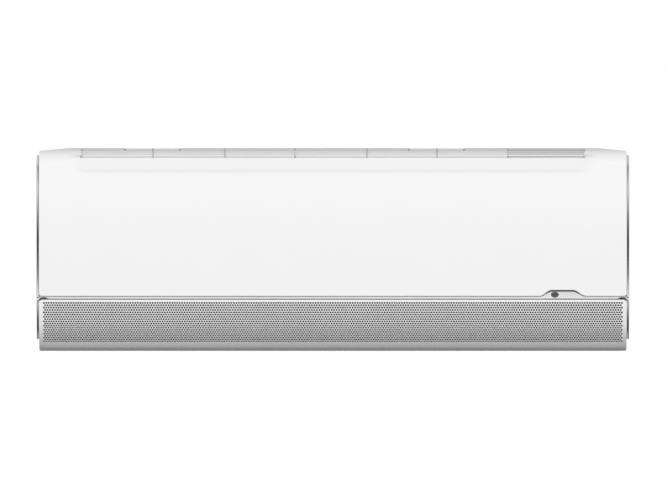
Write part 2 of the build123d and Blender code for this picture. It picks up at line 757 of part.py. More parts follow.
def front_panel():
    panel = panel_shell(0) - panel_shell(wall)
    core = front_area(panel_return, panel_low_z - 5, panel_edge_u - 5)
    panel -= prism(core, -body_half - 1, body_half + 1)
    panel -= block((-strip_half - seat, strip_half + seat), (100, depth + 1), (shell_top_z, top_z + 1))
    lip = outline(
        (front_depth(shell_top_z), shell_top_z),
        (front_depth(crease_z), crease_z),
        (front_depth(lip_low_z) + lip_proud, lip_low_z),
        (front_depth(lip_low_z) + lip_proud, lip_top_z - 0.8),
        (front_depth(lip_low_z) + lip_proud - 0.8, lip_top_z),
        (strip_front_u + 0.5, lip_top_z),
        (strip_front_u + 0.5, lip_top_z - wall),
        (front_depth(lip_low_z) + lip_proud - wall, lip_top_z - wall),
        (front_depth(lip_low_z) + lip_proud - wall, lip_low_z - 1),
        (front_depth(crease_z) - wall, crease_z - 2),
        (front_depth(shell_top_z) - wall, shell_top_z),
    )
    panel += prism(lip, -strip_half - 2, strip_half + 2)
    ring = front_area(0, shell_top_z, panel_edge_u) - front_area(panel_return, shell_top_z - 1, panel_edge_u - 5)
    end = prism(ring, strip_half + seat, strip_half + seat + 2)
    barrel_x = (strip_half + 1.4, strip_half + 6)
    barrel = rod(barrel_x, panel_hinge_u, panel_hinge_z, panel_barrel_radius)
    web = [(panel_hinge_u, panel_hinge_z - 3), (panel_hinge_u + 13, shoulder_z + 15)]
    web += [(panel_hinge_u + 16, shoulder_z + 24)]
    web += [(panel_hinge_u, panel_hinge_z + 2.5)]
    barrel += prism(make_face(Polyline(*web, close=True)), *barrel_x)
    panel += both_sides(end + barrel)
    bore = rod((strip_half - 1, strip_half + 7), panel_hinge_u, panel_hinge_z, panel_pin_radius + run)
    panel -= both_sides(bore)
    return panel - elevation(bump_face(1.0), 150, depth + 1)


def trim_side_face(near, far, z_low, z_high):
    """Side-view strip that follows the casing's front between two insets and two heights."""

    def area(inset):
        return outline((flap_rear_u, bottom_z + inset), *casing_arcs(inset), (flap_rear_u, top_z - inset))

    limits = make_face(Polyline((100, z_low), (depth, z_low), (depth, z_high), (100, z_high), close=True))
    return (area(near) - area(far)) & limits


def trim_bar_face(near, far, z_low, z_high):
    """Side-view bar of even depth behind the casing's front curve."""
    area = outline((100, bottom_z + near), *casing_arcs(near), (100, top_z - near))
    limits = make_face(Polyline((110, z_low), (depth, z_low), (depth, z_high), (110, z_high), close=True))
    return (area - Pos(near - far, 0) * area) & limits


def side_trim():
    face = trim_bar_face(1.5, trim_leg_depth, trim_top_of_strip_z + 1.0, trim_top_z)
    foot = trim_side_face(panel_return + 1.5, trim_leg_depth - 2, trim_top_of_strip_z + 4, shoulder_z - 4)
    outer = prism(face, body_half + seat, width / 2)
    rim = outer.faces().sort_by(Axis.X)[-1].edges()
    return fillet(rim, 1.2) + prism(foot, body_half, body_half + 1)


def outlet_trim():
    """Bright band round the top and ends of the outlet, with the receiver hump."""
    half = width / 2
    inner_half = body_half + 2 * seat
    inner_top = flap_top_z + 0.5
    outer = rounded(
        [(-half, trim_leg_low_z), (half, trim_leg_low_z), (half, trim_top_of_strip_z), (-half, trim_top_of_strip_z)],
        [1, 1, trim_corner, trim_corner],
    )
    inner = rounded(
        [(-inner_half, bottom_z), (inner_half, bottom_z), (inner_half, inner_top), (-inner_half, inner_top)],
        [1, 1, flap_corner, flap_corner],
    )
    band = prism(trim_side_face(0.8, trim_strip_depth, trim_leg_low_z - 5, top_z), -half - 1, half + 1)
    trim = elevation(outer - inner, 100, depth + 1) & band
    leg = prism(trim_bar_face(1.5, trim_leg_depth, trim_leg_low_z, flap_top_z), inner_half, half)
    foot_face = trim_side_face(flap_inset + 2, trim_leg_depth - 2, trim_leg_low_z + 8, flap_top_z - 10)
    leg += prism(foot_face, body_half, inner_half + 1)
    trim += both_sides(leg)
    plate = prism(trim_side_face(0.8, bump_plate, bottom_z, 0), bump_low_x[0] - 1, bump_low_x[1] + 1)
    hump = elevation(bump_face(0), 150, depth + 1) & plate
    trim += hump
    return trim - elevation(lens_face(run), 150, depth + 1)


def lens_face(gap):
    oval = Pos(lens_x, lens_z) * Ellipse(lens_width / 2 + gap, lens_height / 2 + gap)
    return oval


def receiver_lens():
    body = prism(trim_side_face(0.4, bump_plate + 0.6, bottom_z, 0), lens_x - lens_width, lens_x + lens_width)
    return elevation(lens_face(0), 150, depth + 1) & body


def display_board():
    sheet = (board_u, board_u + 1.6)
    board = block((lens_x - 6, lens_x + 30), sheet, (panel_low_z - 0.6, panel_low_z + 9.2))
    board += block(span(lens_x, 6), (sheet[1], front_depth(lens_z, bump_plate + 1.2)), span(lens_z, 5))
    return board


# Flap and its drive


def flap_elevation():
    half = body_half
    low = bottom_z - 1
    points = [(-half, low), (half, low), (half, flap_top_z), (-half, flap_top_z)]
    face = rounded(points, [0.5, 0.5, flap_corner, flap_corner])
    for side in (-1, 1):
        tip = [(side * (half + 1), low - 1), (side * (half + 1), bottom_z + flap_chamfer)]
        tip += [(side * (half - 3 * flap_chamfer), low - 1)]
        face -= make_face(Polyline(*tip, close=True))
    return face


def flap_skin():
    whole = prism(flap_band(0, skin_thickness), -body_half, body_half)
    return whole & elevation(flap_elevation(), 100, depth + 1)


def flap_point(inset, angle):
    return polar(flap_centre, flap_radius - inset, angle)


def flap_carrier():
    """Ribbed frame behind the flap's skin, with its hinge arms and the toothed sector."""
    inner = skin_thickness + carrier_thickness
    body = prism(flap_band(skin_thickness, inner), -body_half, body_half)
    body &= elevation(flap_elevation(), 100, depth + 1)
    pitch = 2 * (body_half - flap_rib_width) / flap_rib_count
    for count in range(flap_rib_count):
        x = span((count + 0.5 - flap_rib_count / 2) * pitch, pitch - flap_rib_width)
        body -= block(x, (flap_hinge_u + 10, depth + 1), (flap_leg_low(), flap_top_z - flap_rib_width))
    hinge = (flap_hinge_u, flap_hinge_z)
    arm_points = [polar(hinge, flap_hub_radius - 0.3, 100), flap_point(inner - 1, -30), flap_point(inner - 1, -40)]
    arm_points += [polar(hinge, flap_hub_radius - 0.3, -50)]
    arm = prism(make_face(Polyline(*arm_points, close=True)), *flap_arm_x)
    arm += rod(flap_arm_x, *hinge, flap_hub_radius)
    body += both_sides(arm + flap_end())
    body += prism(sector_face(), *flap_arm_x)
    bore = rod((flap_arm_x[0] - 1, flap_arm_x[1] + 1), *hinge, flap_pin_radius + run)
    return body - both_sides(bore)


def flap_end():
    """End wall of the flap, whose disc turns in the round cut-out of the casing's end wall."""
    face = flap_band(skin_thickness, flap_inset - 0.8)
    disc = Pos(flap_hinge_u, flap_hinge_z) * Circle(flap_rear_reach())
    disc_back = flap_rear_u - 12
    disc &= outline((disc_back, bottom_z + skin_thickness), *flap_arcs(skin_thickness), (disc_back, flap_top_z))
    end = prism(face + disc, body_half - wall + seat, body_half)
    return end & elevation(flap_elevation(), 100, depth + 1)


def flap_leg_low():
    return flap_point(skin_thickness, -flap_end_tilt)[1] + flap_rib_width


def gear_face(teeth, backlash):
    """Stub involute gear about the origin, with one tooth on the first axis."""
    pitch = gear_module * teeth / 2
    base = pitch * cos(radians(20))
    root = pitch - 1.2 * gear_module
    tip = pitch + 0.8 * gear_module
    half_pitch_angle = pi / (2 * teeth) - backlash / (2 * pitch) + tan(radians(20)) - radians(20)
    flank = []
    for step in range(5):
        radius = max(base, root) + (tip - max(base, root)) * step / 4
        pressure = acos(min(1.0, base / radius))
        flank.append((radius, half_pitch_angle - (tan(pressure) - pressure)))
    flank.insert(0, (root, flank[0][1]))
    points = []
    for tooth in range(teeth):
        middle = 2 * pi * tooth / teeth
        points += [polar((0, 0), radius, degrees(middle - angle)) for radius, angle in flank]
        points += [polar((0, 0), radius, degrees(middle + angle)) for radius, angle in flank[::-1]]
    return make_face(Polyline(*points, close=True))


def sector_face():
    reach = 2 * sector_radius
    wedge_points = [(0, 0), *[polar((0, 0), reach, angle) for angle in (74, 100, 130, 160, 184)]]
    wedge = make_face(Polyline(*wedge_points, close=True))
    sector = (Rot(0, 0, 90) * gear_face(sector_teeth, gear_backlash)) & wedge
    return Pos(flap_hinge_u, flap_hinge_z) * sector


def flap_pinion():
    turned = Rot(0, 0, -90 + 180 / pinion_teeth) * gear_face(pinion_teeth, 0)
    gear = prism(Pos(flap_hinge_u, pinion_z) * turned, *flap_arm_x)
    shaft = rod((flap_arm_x[0] - 8, flap_arm_x[0] + 1), flap_hinge_u, pinion_z, vane_pin_radius)
    return gear + shaft


def step_motor(bore_radius, length=step_length):
    """Flat round motor about the origin, with its shaft hole up +Z and two ears."""
    body = Cylinder(step_radius, length, align=(Align.CENTER, Align.CENTER, Align.MAX))
    ears = Pos(0, 0, -0.5) * Box(2 * step_ear_reach, 7, 1.0)
    return body + ears - Pos(0, 0, -9) * Cylinder(bore_radius, 10, align=LOW)


def along_x(shape, x, u, z):
    """Stand a shape made up +Z on the unit's long axis, facing +X."""
    return Pos(x, -u, z) * Rot(0, 90, 0) * shape


def flap_motor():
    return along_x(step_motor(vane_pin_radius + run), flap_arm_x[0] - 3.4, flap_hinge_u, pinion_z)


def louver_motor():
    motor = step_motor(louver_pin_radius + run)
    return mirrored(along_x(motor, -duct_right - wall, louver_u, louver_z))


def inner_louver():
    """Long blade behind the flap, closed across the mouth at rest."""
    tilt = radians(flow_tilt)
    low = (louver_u - louver_half * sin(tilt), louver_z - louver_half * cos(tilt))
    high = (louver_u + louver_half * sin(tilt), louver_z + louver_half * cos(tilt))
    bow = (louver_u + 1.6 * cos(tilt), louver_z - 1.6 * sin(tilt))
    back_low = (low[0] - louver_thickness * cos(tilt), low[1] + louver_thickness * sin(tilt))
    back_high = (high[0] - louver_thickness * cos(tilt), high[1] + louver_thickness * sin(tilt))
    back_bow = (bow[0] - louver_thickness * cos(tilt), bow[1] + louver_thickness * sin(tilt))
    face = outline(ThreePointArc(low, bow, high), ThreePointArc(back_high, back_bow, back_low))
    blade = prism(face, duct_left + 1, duct_right - 1)
    for x in ((duct_left - wall, duct_left + 4), (duct_right - 4, duct_right + wall + 7)):
        blade += rod(x, louver_u, louver_z, louver_pin_radius)
    return blade


# Swinging vanes


def vane_places():
    count = 2 * vanes_per_side
    return [duct_left + vane_pitch * (index + 0.5) for index in range(count)]


def peg(x, along, low, high, radius):
    """Round peg square to the duct floor."""
    u, z = floor_point(along, low)
    tilt = radians(flow_tilt)
    plane = Plane(origin=(x, -u, z), x_dir=(1, 0, 0), z_dir=(0, -sin(tilt), cos(tilt)))
    return plane * Cylinder(radius, high - low, align=LOW)


def vane(x, driven):
    corners = [floor_point(*place) for place in vane_corners()]
    body = prism(make_face(Polyline(*corners, close=True)), *span(x, vane_thickness))
    body += peg(x, 0, seat, vane_rise + 1, 5)
    body += peg(x, 0, -wall - (6 if driven else 0.5), vane_rise, vane_pin_radius)
    link_low = link_rise()
    body += peg(x, -link_reach, link_low - 4, link_low + link_thickness + 1.5, link_pin_radius)
    return body


def link_rise():
    return vane_rise + 6


def vane_corners():
    tab = link_rise() - 0.6
    tail = -link_reach - link_pin_radius - 0.6
    return [
        (vane_front, vane_rise),
        (vane_front, vane_height),
        (-vane_rear_high, vane_height),
        (-vane_rear_low, vane_height / 3),
        (-vane_rear_low, tab),
        (tail, tab),
        (tail, vane_rise),
    ]


def vane_link(places):
    """Bar that ties one side's vanes together, on the pin of its first vane."""
    tilt = radians(flow_tilt)
    u, z = floor_point(-link_reach, link_rise())
    middle = (places[0] + places[-1]) / 2
    plane = Plane(origin=(middle, -u, z), x_dir=(1, 0, 0), z_dir=(0, -sin(tilt), cos(tilt)))
    length = places[-1] - places[0] + link_width
    bar = plane * Box(length, link_width, link_thickness, align=LOW)
    for x in places:
        gap = run if x == places[0] else 8 * run
        bar -= peg(x, -link_reach, link_rise() - 1, link_rise() + link_thickness + 1, link_pin_radius + gap)
    return bar


def vane_motor(x):
    u, z = floor_point(0, -wall)
    tilt = radians(flow_tilt)
    plane = Plane(origin=(x, -u, z), x_dir=(1, 0, 0), z_dir=(0, -sin(tilt), cos(tilt)))
    return plane * step_motor(vane_pin_radius + run)


# Fan


def fan_wheel():
    """Long drum of curved blades between rings, with a hub at the motor end."""
    length = (fan_left, fan_right)
    inner = fan_radius - 11
    root, tip = inner + 0.5, fan_radius - 0.6
    pressed = ThreePointArc((root, 0), ((root + tip) / 2, 0.9), (tip, 4.6))
    sucked = ThreePointArc((tip - 0.7, 5.2), ((root + tip) / 2 - 0.4, 1.9), (root, 1.0))
    profile = outline(pressed, sucked)
    blades = []
    for count in range(fan_blades):
        turned = Pos(fan_u, fan_z) * Rot(0, 0, 360 * count / fan_blades) * profile
        blades.append(prism(turned, *length))
    rings = []
    for count in range(1, fan_rings):
        x = fan_left + (fan_right - fan_left) * count / fan_rings
        ring = rod(span(x, 3), fan_u, fan_z, fan_radius) - rod(span(x, 5), fan_u, fan_z, inner)
        rings.append(ring)
    left = rod((fan_left, fan_left + 4), fan_u, fan_z, fan_radius)
    right = rod((fan_right - 4, fan_right), fan_u, fan_z, fan_radius)
    hub = rod((fan_right - 24, fan_right - 3), fan_u, fan_z, 14)
    wheel = left + [right, hub, *rings, *blades]
    return wheel - rod((fan_left - 1, fan_right + 1), fan_u, fan_z, axle_radius)


def fan_axles():
    """Stub axle at the bearing end and motor shaft at the driven end."""
    left = rod((fan_left - 12, fan_left + 4), fan_u, fan_z, axle_radius)
    right = rod((fan_right - 24, motor_x[1] + 6), fan_u, fan_z, axle_radius)
    return [left, right]


def fan_bearing():
    holder = rod((duct_left - wall - 4, duct_left - wall), fan_u, fan_z, 16)
    holder += rod((duct_left - wall, duct_left), fan_u, fan_z, 12)
    return holder - rod((duct_left - 10, duct_left + 1), fan_u, fan_z, axle_radius + run)


def fan_motor():
    body = rod((motor_x[0] + 4, motor_x[1] - 4), fan_u, fan_z, motor_radius)
    body += rod(motor_x, fan_u, fan_z, motor_radius - 9)
    return body - rod((motor_x[0] - 1, motor_x[1] + 1), fan_u, fan_z, axle_radius + run)


def motor_clamp():
    """Half ring over the fan motor, whose ears sit on the cradle."""
    inner = motor_radius + seat
    ring = rod(cradle_x, fan_u, fan_z, inner + wall) - rod(cradle_x, fan_u, fan_z, inner)
    ring -= block((cradle_x[0] - 1, cradle_x[1] + 1), (0, depth), (fan_z - 60, fan_z))
    reach = inner + wall + 12
    for u in ((fan_u - reach, fan_u - inner - 0.5), (fan_u + inner + 0.5, cradle_front_u)):
        ring += block(cradle_x, u, (fan_z, fan_z + 3))
    return ring


# Evaporator and pipes


def tube_rows(slab):
    (u0, z0), (u1, z1) = slab
    length = sqrt((u1 - u0) ** 2 + (z1 - z0) ** 2)
    count = int((length - 2 * tube_radius - 3) // tube_pitch) + 1
    first = (length - (count - 1) * tube_pitch) / 2
    shares = [(first + tube_pitch * index) / length for index in range(count)]
    return [[slab_point(slab, share, slab_thickness * row) for share in shares] for row in (0.25, 0.75)]


def slab_tube(slab, index, row):
    return tube_rows(slab)[row][index]


def evaporator_fins():
    return [prism(slab_face(slab, 0, slab_thickness), *fins_x) for slab in (front_slab, upper_slab, rear_slab)]


def evaporator_plates():
    plates = []
    for x in ((duct_left, fins_x[0]), (fins_x[1], duct_right)):
        for slab in (front_slab, upper_slab, rear_slab):
            plate = prism(slab_face(slab, 0, slab_thickness), *x)
            tab = [slab_point(slab, *place) for place in ((0.3, -plate_tab), (0.7, -plate_tab))]
            tab += [slab_point(slab, *place) for place in ((0.7, 1), (0.3, 1))]
            plates.append(plate + prism(make_face(Polyline(*tab, close=True)), *x))
    return plates


def evaporator_bends():
    """U-shaped tube ends, one for each pair of neighbours in a row."""
    bends = []
    for slab in (front_slab, upper_slab, rear_slab):
        for row in tube_rows(slab):
            for index in range(len(row) - 1):
                left_side = index % 2 == 0
                x, side = (duct_left, -1) if left_side else (duct_right, 1)
                bends.append(tube_bend(x, side, row[index], row[index + 1]))
    return bends


def tube_bend(x, side, first, second):
    stub = 3.0
    ends = [Vector(x, -first[0], first[1]), Vector(x, -second[0], second[1])]
    out = Vector(side * stub, 0, 0)
    crown = (ends[0] + ends[1]) / 2 + Vector(side * (stub + tube_pitch / 2), 0, 0)
    path = Line(ends[0], ends[0] + out) + ThreePointArc(ends[0] + out, crown, ends[1] + out)
    path += Line(ends[1] + out, ends[1])
    return sweep(Plane(ends[0], z_dir=(side, 0, 0)) * Circle(tube_radius), path=path)


def pipe(points, bend, radius):
    path = FilletPolyline(*[Vector(x, -u, z) for x, u, z in points], radius=bend)
    return sweep(Plane(path @ 0, z_dir=path % 0) * Circle(radius), path=path)


def gas_pipe():
    u, z = slab_tube(rear_slab, -1, 0)
    return pipe([(duct_right, u, z), (gas_x, u, z), (gas_x, u, gas_z), (pipe_end_x, u, gas_z)], 16, gas_radius)


def liquid_pipe():
    u, z = slab_tube(rear_slab, -1, 1)
    points = [(duct_right, u, z), (liquid_x, u, z), (liquid_x, u, liquid_z), (pipe_end_x, u, liquid_z)]
    return pipe(points, 10, liquid_radius)


def flare_union(u, z, pipe_radius, thread_radius, flats):
    """Flare union: a hexagon with a plain barrel on the pipe side and a thread towards the unit's left."""
    barrel = rod((pipe_end_x - 8, pipe_end_x), u, z, thread_radius + 0.6)
    hexagon = Pos(u, z) * Rot(0, 0, 30) * RegularPolygon(flats / 2, 6, major_radius=False)
    nut = prism(hexagon, pipe_end_x - 24, pipe_end_x - 8)
    thread = rod((pipe_end_x - 40, pipe_end_x - 24), u, z, thread_radius)
    return barrel + nut + thread - rod((pipe_end_x - 41, pipe_end_x - 6), u, z, pipe_radius - 0.9)


def gas_union():
    return flare_union(slab_tube(rear_slab, -1, 0)[0], gas_z, gas_radius, gas_thread_radius, 22)


def liquid_union():
    return flare_union(slab_tube(rear_slab, -1, 1)[0], liquid_z, liquid_radius, liquid_thread_radius, 17)


def pipe_insulation():
    gas_u = slab_tube(rear_slab, -1, 0)[0]
    liquid_u = slab_tube(rear_slab, -1, 1)[0]
    gas = rod(foam_x, gas_u, gas_z, gas_foam_radius) - rod(foam_x, gas_u, gas_z, gas_radius)
    liquid = rod(foam_x, liquid_u, liquid_z, liquid_foam_radius) - rod(foam_x, liquid_u, liquid_z, liquid_radius)
    return [gas, liquid]


def pipe_clamp():
    """Strap across the pipe channel, hooked on the back wall and the channel's front wall."""
    x = (150, 170)
    strap = block(x, (back_u - 2, back_u), (bottom_z + 0.1, channel_top_z + 10))
    return strap + block(x, (back_u - 1, channel_front_u), (bottom_z + 0.1, bottom_z + 2.1))


# Drain pan


def drain_pan():
    left = pan_arm_x[0]
    body = block((left, pan_right), (pan_back_u, pan_front_u), (pan_low_z, pan_top_z))
    body += block(pan_arm_x, (spout_u - 12, pan_back_u + 1), (pan_low_z, pan_top_z))
    inner_z = (pan_low_z + pan_floor, pan_top_z + 1)
    inner_u = (pan_back_u + pan_wall, pan_front_u - pan_wall)
    body -= block((left + pan_wall, pan_right - pan_wall), inner_u, inner_z)
    arm_x = (pan_arm_x[0] + pan_wall, pan_arm_x[1] - pan_wall)
    body -= block(arm_x, (spout_u - 12 + pan_wall, pan_back_u + pan_wall + 1), inner_z)
    spout_x = sum(pan_arm_x) / 2
    body += post(spout_x, spout_u, (spout_low_z, pan_low_z + 1), spout_radius)
    body -= post(spout_x, spout_u, (spout_low_z - 1, pan_top_z), spout_radius - pan_wall)
    plug_u, plug_z = plug_place()
    body += rod((pan_right - 1, pan_right + 10), plug_u, plug_z, 9)
    body -= rod((pan_right - 5, pan_right + 11), plug_u, plug_z, 7)
    return cut_across([body], [inner_z[0]], inner_u)


def plug_place():
    return ((pan_back_u + pan_front_u) / 2, pan_low_z + 14)


def drain_plug():
    u, z = plug_place()
    plug = rod((pan_right - 1, pan_right + 10), u, z, 7)
    return plug + rod((pan_right + 10, pan_right + 12.5), u, z, 9)


# Electrical parts


def control_box():
    inner_x = (box_x[0] + box_wall, box_x[1] - box_wall)
    inner_z = (box_z[0] + box_wall, box_z[1] - box_wall)
    body = block(box_x, box_u, box_z) - block(inner_x, (box_u[0] + box_wall, box_u[1] + 1), inner_z)
    for x in (inner_x[0] + 8, inner_x[1] - 8):
        for z in (box_z[0] + 42, box_z[1] - 20):
            body += stud(x, (box_u[0] + 1, box_u[0] + 10), z, 3)
    return body - post(gland_place()[0], gland_place()[1], (box_z[0] - 1, box_z[0] + box_wall + 1), 7)


def gland_place():
    return (box_x[1] - 18, (box_u[0] + box_u[1]) / 2)


def cable_gland():
    x, u = gland_place()
    gland = post(x, u, (box_z[0] - 6, box_z[0]), 10) + post(x, u, (box_z[0], box_z[0] + box_wall + 4), 7)
    return gland - post(x, u, (box_z[0] - 7, box_z[0] + box_wall + 5), 4)


def control_board():
    u = box_u[0] + 10
    left, right = box_x
    low, high = box_z[0] + 36, box_z[1] - 12
    board = block((left + 4, right - 4), (u, u + 1.6), (low, high))
    chips = [(left + 11.4, high - 26, 16, 20, 18), (right - 18, high - 30, 18, 16, 14), (left + 13.4, low + 48, 12, 12, 20)]
    for x, z, size_x, size_z, tall in chips:
        board += block(span(x, size_x), (u + 1, u + tall), span(z, size_z))
    return board + stud(right - 18, (u + 1, u + 21), low + 48, 8)


def terminal_block():
    back, z = box_u[0], box_z[0] + 17
    body = block((box_x[0] + 5.4, box_x[1] - 8), (back + box_wall, back + 14), (z - 11, z + 5))
    for index in range(5):
        x = box_x[0] + 10.4 + 9 * index
        body -= stud(x, (back + 8, back + 15), z, 2.6)
        body += stud(x, (back + 7, back + 11), z, 2.2)
    return body


def control_cover():
    cover = block(box_x, (box_u[1], box_u[1] + box_wall), box_z)
    return cover - stud(button_x, (box_u[1] - 1, box_u[1] + box_wall + 1), button_z, button_radius + run)


def manual_button():
    front = box_u[1] + box_wall
    stem = stud(button_x, (box_u[1] - 4, front + button_travel + 1), button_z, button_radius)
    return stem + stud(button_x, (front + button_travel + seat, front + button_travel + 2.5), button_z, 5.5)


def parts():
    places = vane_places()
    left, right = places[:vanes_per_side], places[vanes_per_side:]
    made = {
        "wall_plate": wall_plate(),
        "chassis": chassis(),
        "front_frame": front_frame(),
        "intake_grille": intake_grille(),
        "vent_grille": vent_grille(),
        "front_panel": front_panel(),
        "outlet_trim": outlet_trim(),
        "side_trim_right": side_trim(),
        "side_trim_left": mirrored(side_trim()),
        "receiver_lens": receiver_lens(),
        "display_board": display_board(),
        "flap_skin": flap_skin(),
        "flap_carrier": flap_carrier(),
        "flap_pinion": flap_pinion(),
        "flap_motor": flap_motor(),
        "inner_louver": inner_louver(),
        "louver_motor": louver_motor(),
        "vane_link_left": vane_link(left),
        "vane_link_right": vane_link(right),
        "vane_motor_left": vane_motor(left[0]),
        "vane_motor_right": vane_motor(right[0]),
        "evaporator_fins": evaporator_fins(),
        "evaporator_plates": evaporator_plates(),
        "evaporator_bends": evaporator_bends(),
        "gas_pipe": gas_pipe(),
        "liquid_pipe": liquid_pipe(),
        "gas_union": gas_union(),
        "liquid_union": liquid_union(),
        "pipe_insulation": pipe_insulation(),
        "pipe_clamp": pipe_clamp(),
        "fan_wheel": fan_wheel(),
        "fan_axles": fan_axles(),
        "fan_motor": fan_motor(),
        "motor_clamp": motor_clamp(),
        "fan_bearing": fan_bearing(),
        "drain_pan": drain_pan(),
        "drain_plug": drain_plug(),
        "control_box": control_box(),
        "control_board": control_board(),
        "control_cover": control_cover(),
        "terminal_block": terminal_block(),
        "cable_gland": cable_gland(),
        "manual_button": manual_button(),
        "air_filter_left": air_filter(filter_low_x, filter_split_x - seat),
        "air_filter_right": air_filter(filter_split_x + seat, filter_high_x),
        "filter_mesh_left": filter_mesh(filter_low_x, filter_split_x - seat),
        "filter_mesh_right": filter_mesh(filter_split_x + seat, filter_high_x),
        "frame_screws": frame_screws(),
    }
    for index in range(vanes_per_side):
        made[f"vane_left_{index + 1}"] = vane(left[index], index == 0)
        made[f"vane_right_{index + 1}"] = vane(right[index], index == 0)
    return made


if __name__ == "__main__":
    os.makedirs("parts", exist_ok=True)
    for name, shape in parts().items():
        solids = shape if isinstance(shape, list) else [shape]
        solids = [solid for piece in solids for solid in piece.solids()]
        whole = solids[0] if len(solids) == 1 else Compound(solids)
        export_step(whole, f"parts/{name}.step")
        print(name, len(solids), round(sum(solid.volume for solid in solids)))
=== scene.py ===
import json
import math

import bpy
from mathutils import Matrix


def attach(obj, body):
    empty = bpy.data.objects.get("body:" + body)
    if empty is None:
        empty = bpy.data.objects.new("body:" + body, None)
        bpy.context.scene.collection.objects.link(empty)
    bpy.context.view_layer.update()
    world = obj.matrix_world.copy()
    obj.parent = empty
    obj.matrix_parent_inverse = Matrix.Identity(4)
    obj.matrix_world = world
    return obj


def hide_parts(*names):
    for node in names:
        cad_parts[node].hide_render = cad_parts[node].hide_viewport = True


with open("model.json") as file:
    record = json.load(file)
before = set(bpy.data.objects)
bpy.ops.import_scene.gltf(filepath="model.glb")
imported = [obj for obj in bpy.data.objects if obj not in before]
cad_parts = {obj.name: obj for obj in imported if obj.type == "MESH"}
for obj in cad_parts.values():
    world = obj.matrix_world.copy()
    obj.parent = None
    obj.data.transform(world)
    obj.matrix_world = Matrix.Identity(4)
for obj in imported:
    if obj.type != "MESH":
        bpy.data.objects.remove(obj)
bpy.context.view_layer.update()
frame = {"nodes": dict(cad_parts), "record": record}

# X runs along the unit, Z is up and the room lies towards -Y. A depth, or u, is the distance from the wall.
casing = {
    "bodyHalf": 0.4662,
    "top": 0.161,
    "bottom": -0.161,
    "frontCentre": (-0.617, 0.010),
    "frontRadius": 0.810,
    "shoulderRadius": 0.0295,
    "shoulderHeight": 0.1315,
    "flapTop": -0.0792,
    "flapRadius": 0.117,
    "noseRadius": 0.036,
    "flapBack": 0.122,
}


def onCircle(centre, radius, angle):
    return (centre[0] + radius * math.cos(angle), centre[1] + radius * math.sin(angle))


def settleCasing():
    # the centres of the shoulder, the flap and its nose follow from the curves meeting without a corner
    c = casing
    u, z = c["frontCentre"]
    reach = c["frontRadius"] - c["shoulderRadius"]
    tilt = math.asin((c["shoulderHeight"] - z) / reach)
    c["shoulderCentre"] = onCircle(c["frontCentre"], reach, tilt)
    c["flapStart"] = math.asin((z - c["flapTop"]) / c["frontRadius"])
    c["flapCentre"] = onCircle(c["frontCentre"], c["frontRadius"] - c["flapRadius"], -c["flapStart"])
    drop = c["flapCentre"][1] - c["bottom"] - c["noseRadius"]
    c["flapEnd"] = math.asin(drop / (c["flapRadius"] - c["noseRadius"]))
    c["noseCentre"] = onCircle(c["flapCentre"], c["flapRadius"] - c["noseRadius"], -c["flapEnd"])


settleCasing()
sides = ((-1, "Left"), (1, "Right"))


# Small tools for modelling


def spread(start, end, steps, first=0):
    # evenly spaced values up to the end
    return [start + (end - start) * step / steps for step in range(first, steps + 1)]


def deselectAll():
    if bpy.context.object and bpy.context.object.mode != "OBJECT":
        bpy.ops.object.mode_set(mode="OBJECT")
    bpy.ops.object.select_all(action="DESELECT")


def takeUp(piece):
    deselectAll()
    piece.select_set(True)
    bpy.context.view_layer.objects.active = piece


def fresh(name):
    piece = bpy.context.object
    piece.name = name
    piece.data.name = name
    return piece


def editWhole(piece):
    # the whole piece is selected in edit mode
    takeUp(piece)
    bpy.ops.object.mode_set(mode="EDIT")
    bpy.ops.mesh.select_all(action="SELECT")


def editDone():
    bpy.ops.object.mode_set(mode="OBJECT")


def dropFaces(piece, test):
    editWhole(piece)
    bpy.ops.mesh.select_mode(type="FACE")
    bpy.ops.mesh.select_all(action="DESELECT")
    editDone()
    for face in piece.data.polygons:
        face.select = test(face)
    bpy.ops.object.mode_set(mode="EDIT")
    bpy.ops.mesh.delete(type="FACE")
    editDone()


def mergeDoubles(piece, distance=2e-6):
    editWhole(piece)
    bpy.ops.mesh.remove_doubles(threshold=distance)
    bpy.ops.mesh.dissolve_degenerate(threshold=distance)
    editDone()


def applied(piece, kind, **settings):
    takeUp(piece)
    modifier = piece.modifiers.new(kind.title(), kind)
    for name, value in settings.items():
        setattr(modifier, name, value)
    bpy.ops.object.modifier_apply(modifier=modifier.name)


def bevelled(piece, width, segments, angle):
    # only edges sharper than the angle, in degrees
    applied(
        piece, "BEVEL", width=width, segments=segments, limit_method="ANGLE", angle_limit=math.radians(angle)
    )


def settled(piece, angle=35):
    # the place goes into the mesh, and the object itself ends at the origin
    takeUp(piece)
    bpy.ops.object.transform_apply(location=True, rotation=True, scale=True)
    bpy.ops.object.shade_smooth_by_angle(angle=math.radians(angle))


def gridSheet(name, columns, rows, place):
    # a flat grid whose crossings are then carried to their places on the casing
    deselectAll()
    bpy.ops.mesh.primitive_grid_add(x_subdivisions=columns - 1, y_subdivisions=rows - 1, size=1)
    piece = fresh(name)
    for vertex in piece.data.vertices:
        column = round((vertex.co.x + 0.5) * (columns - 1))
        row = round((vertex.co.y + 0.5) * (rows - 1))
        x, u, z = place(column, row)
        vertex.co = (x, -u, z)
    return piece


def faceOutwards(piece):
    # an open sheet's faces are turned towards the room before it gets its thickness
    mesh = piece.data
    facing = max(mesh.polygons, key=lambda face: face.area * abs(face.normal.y))
    if facing.normal.y > 0:
        mesh.flip_normals()


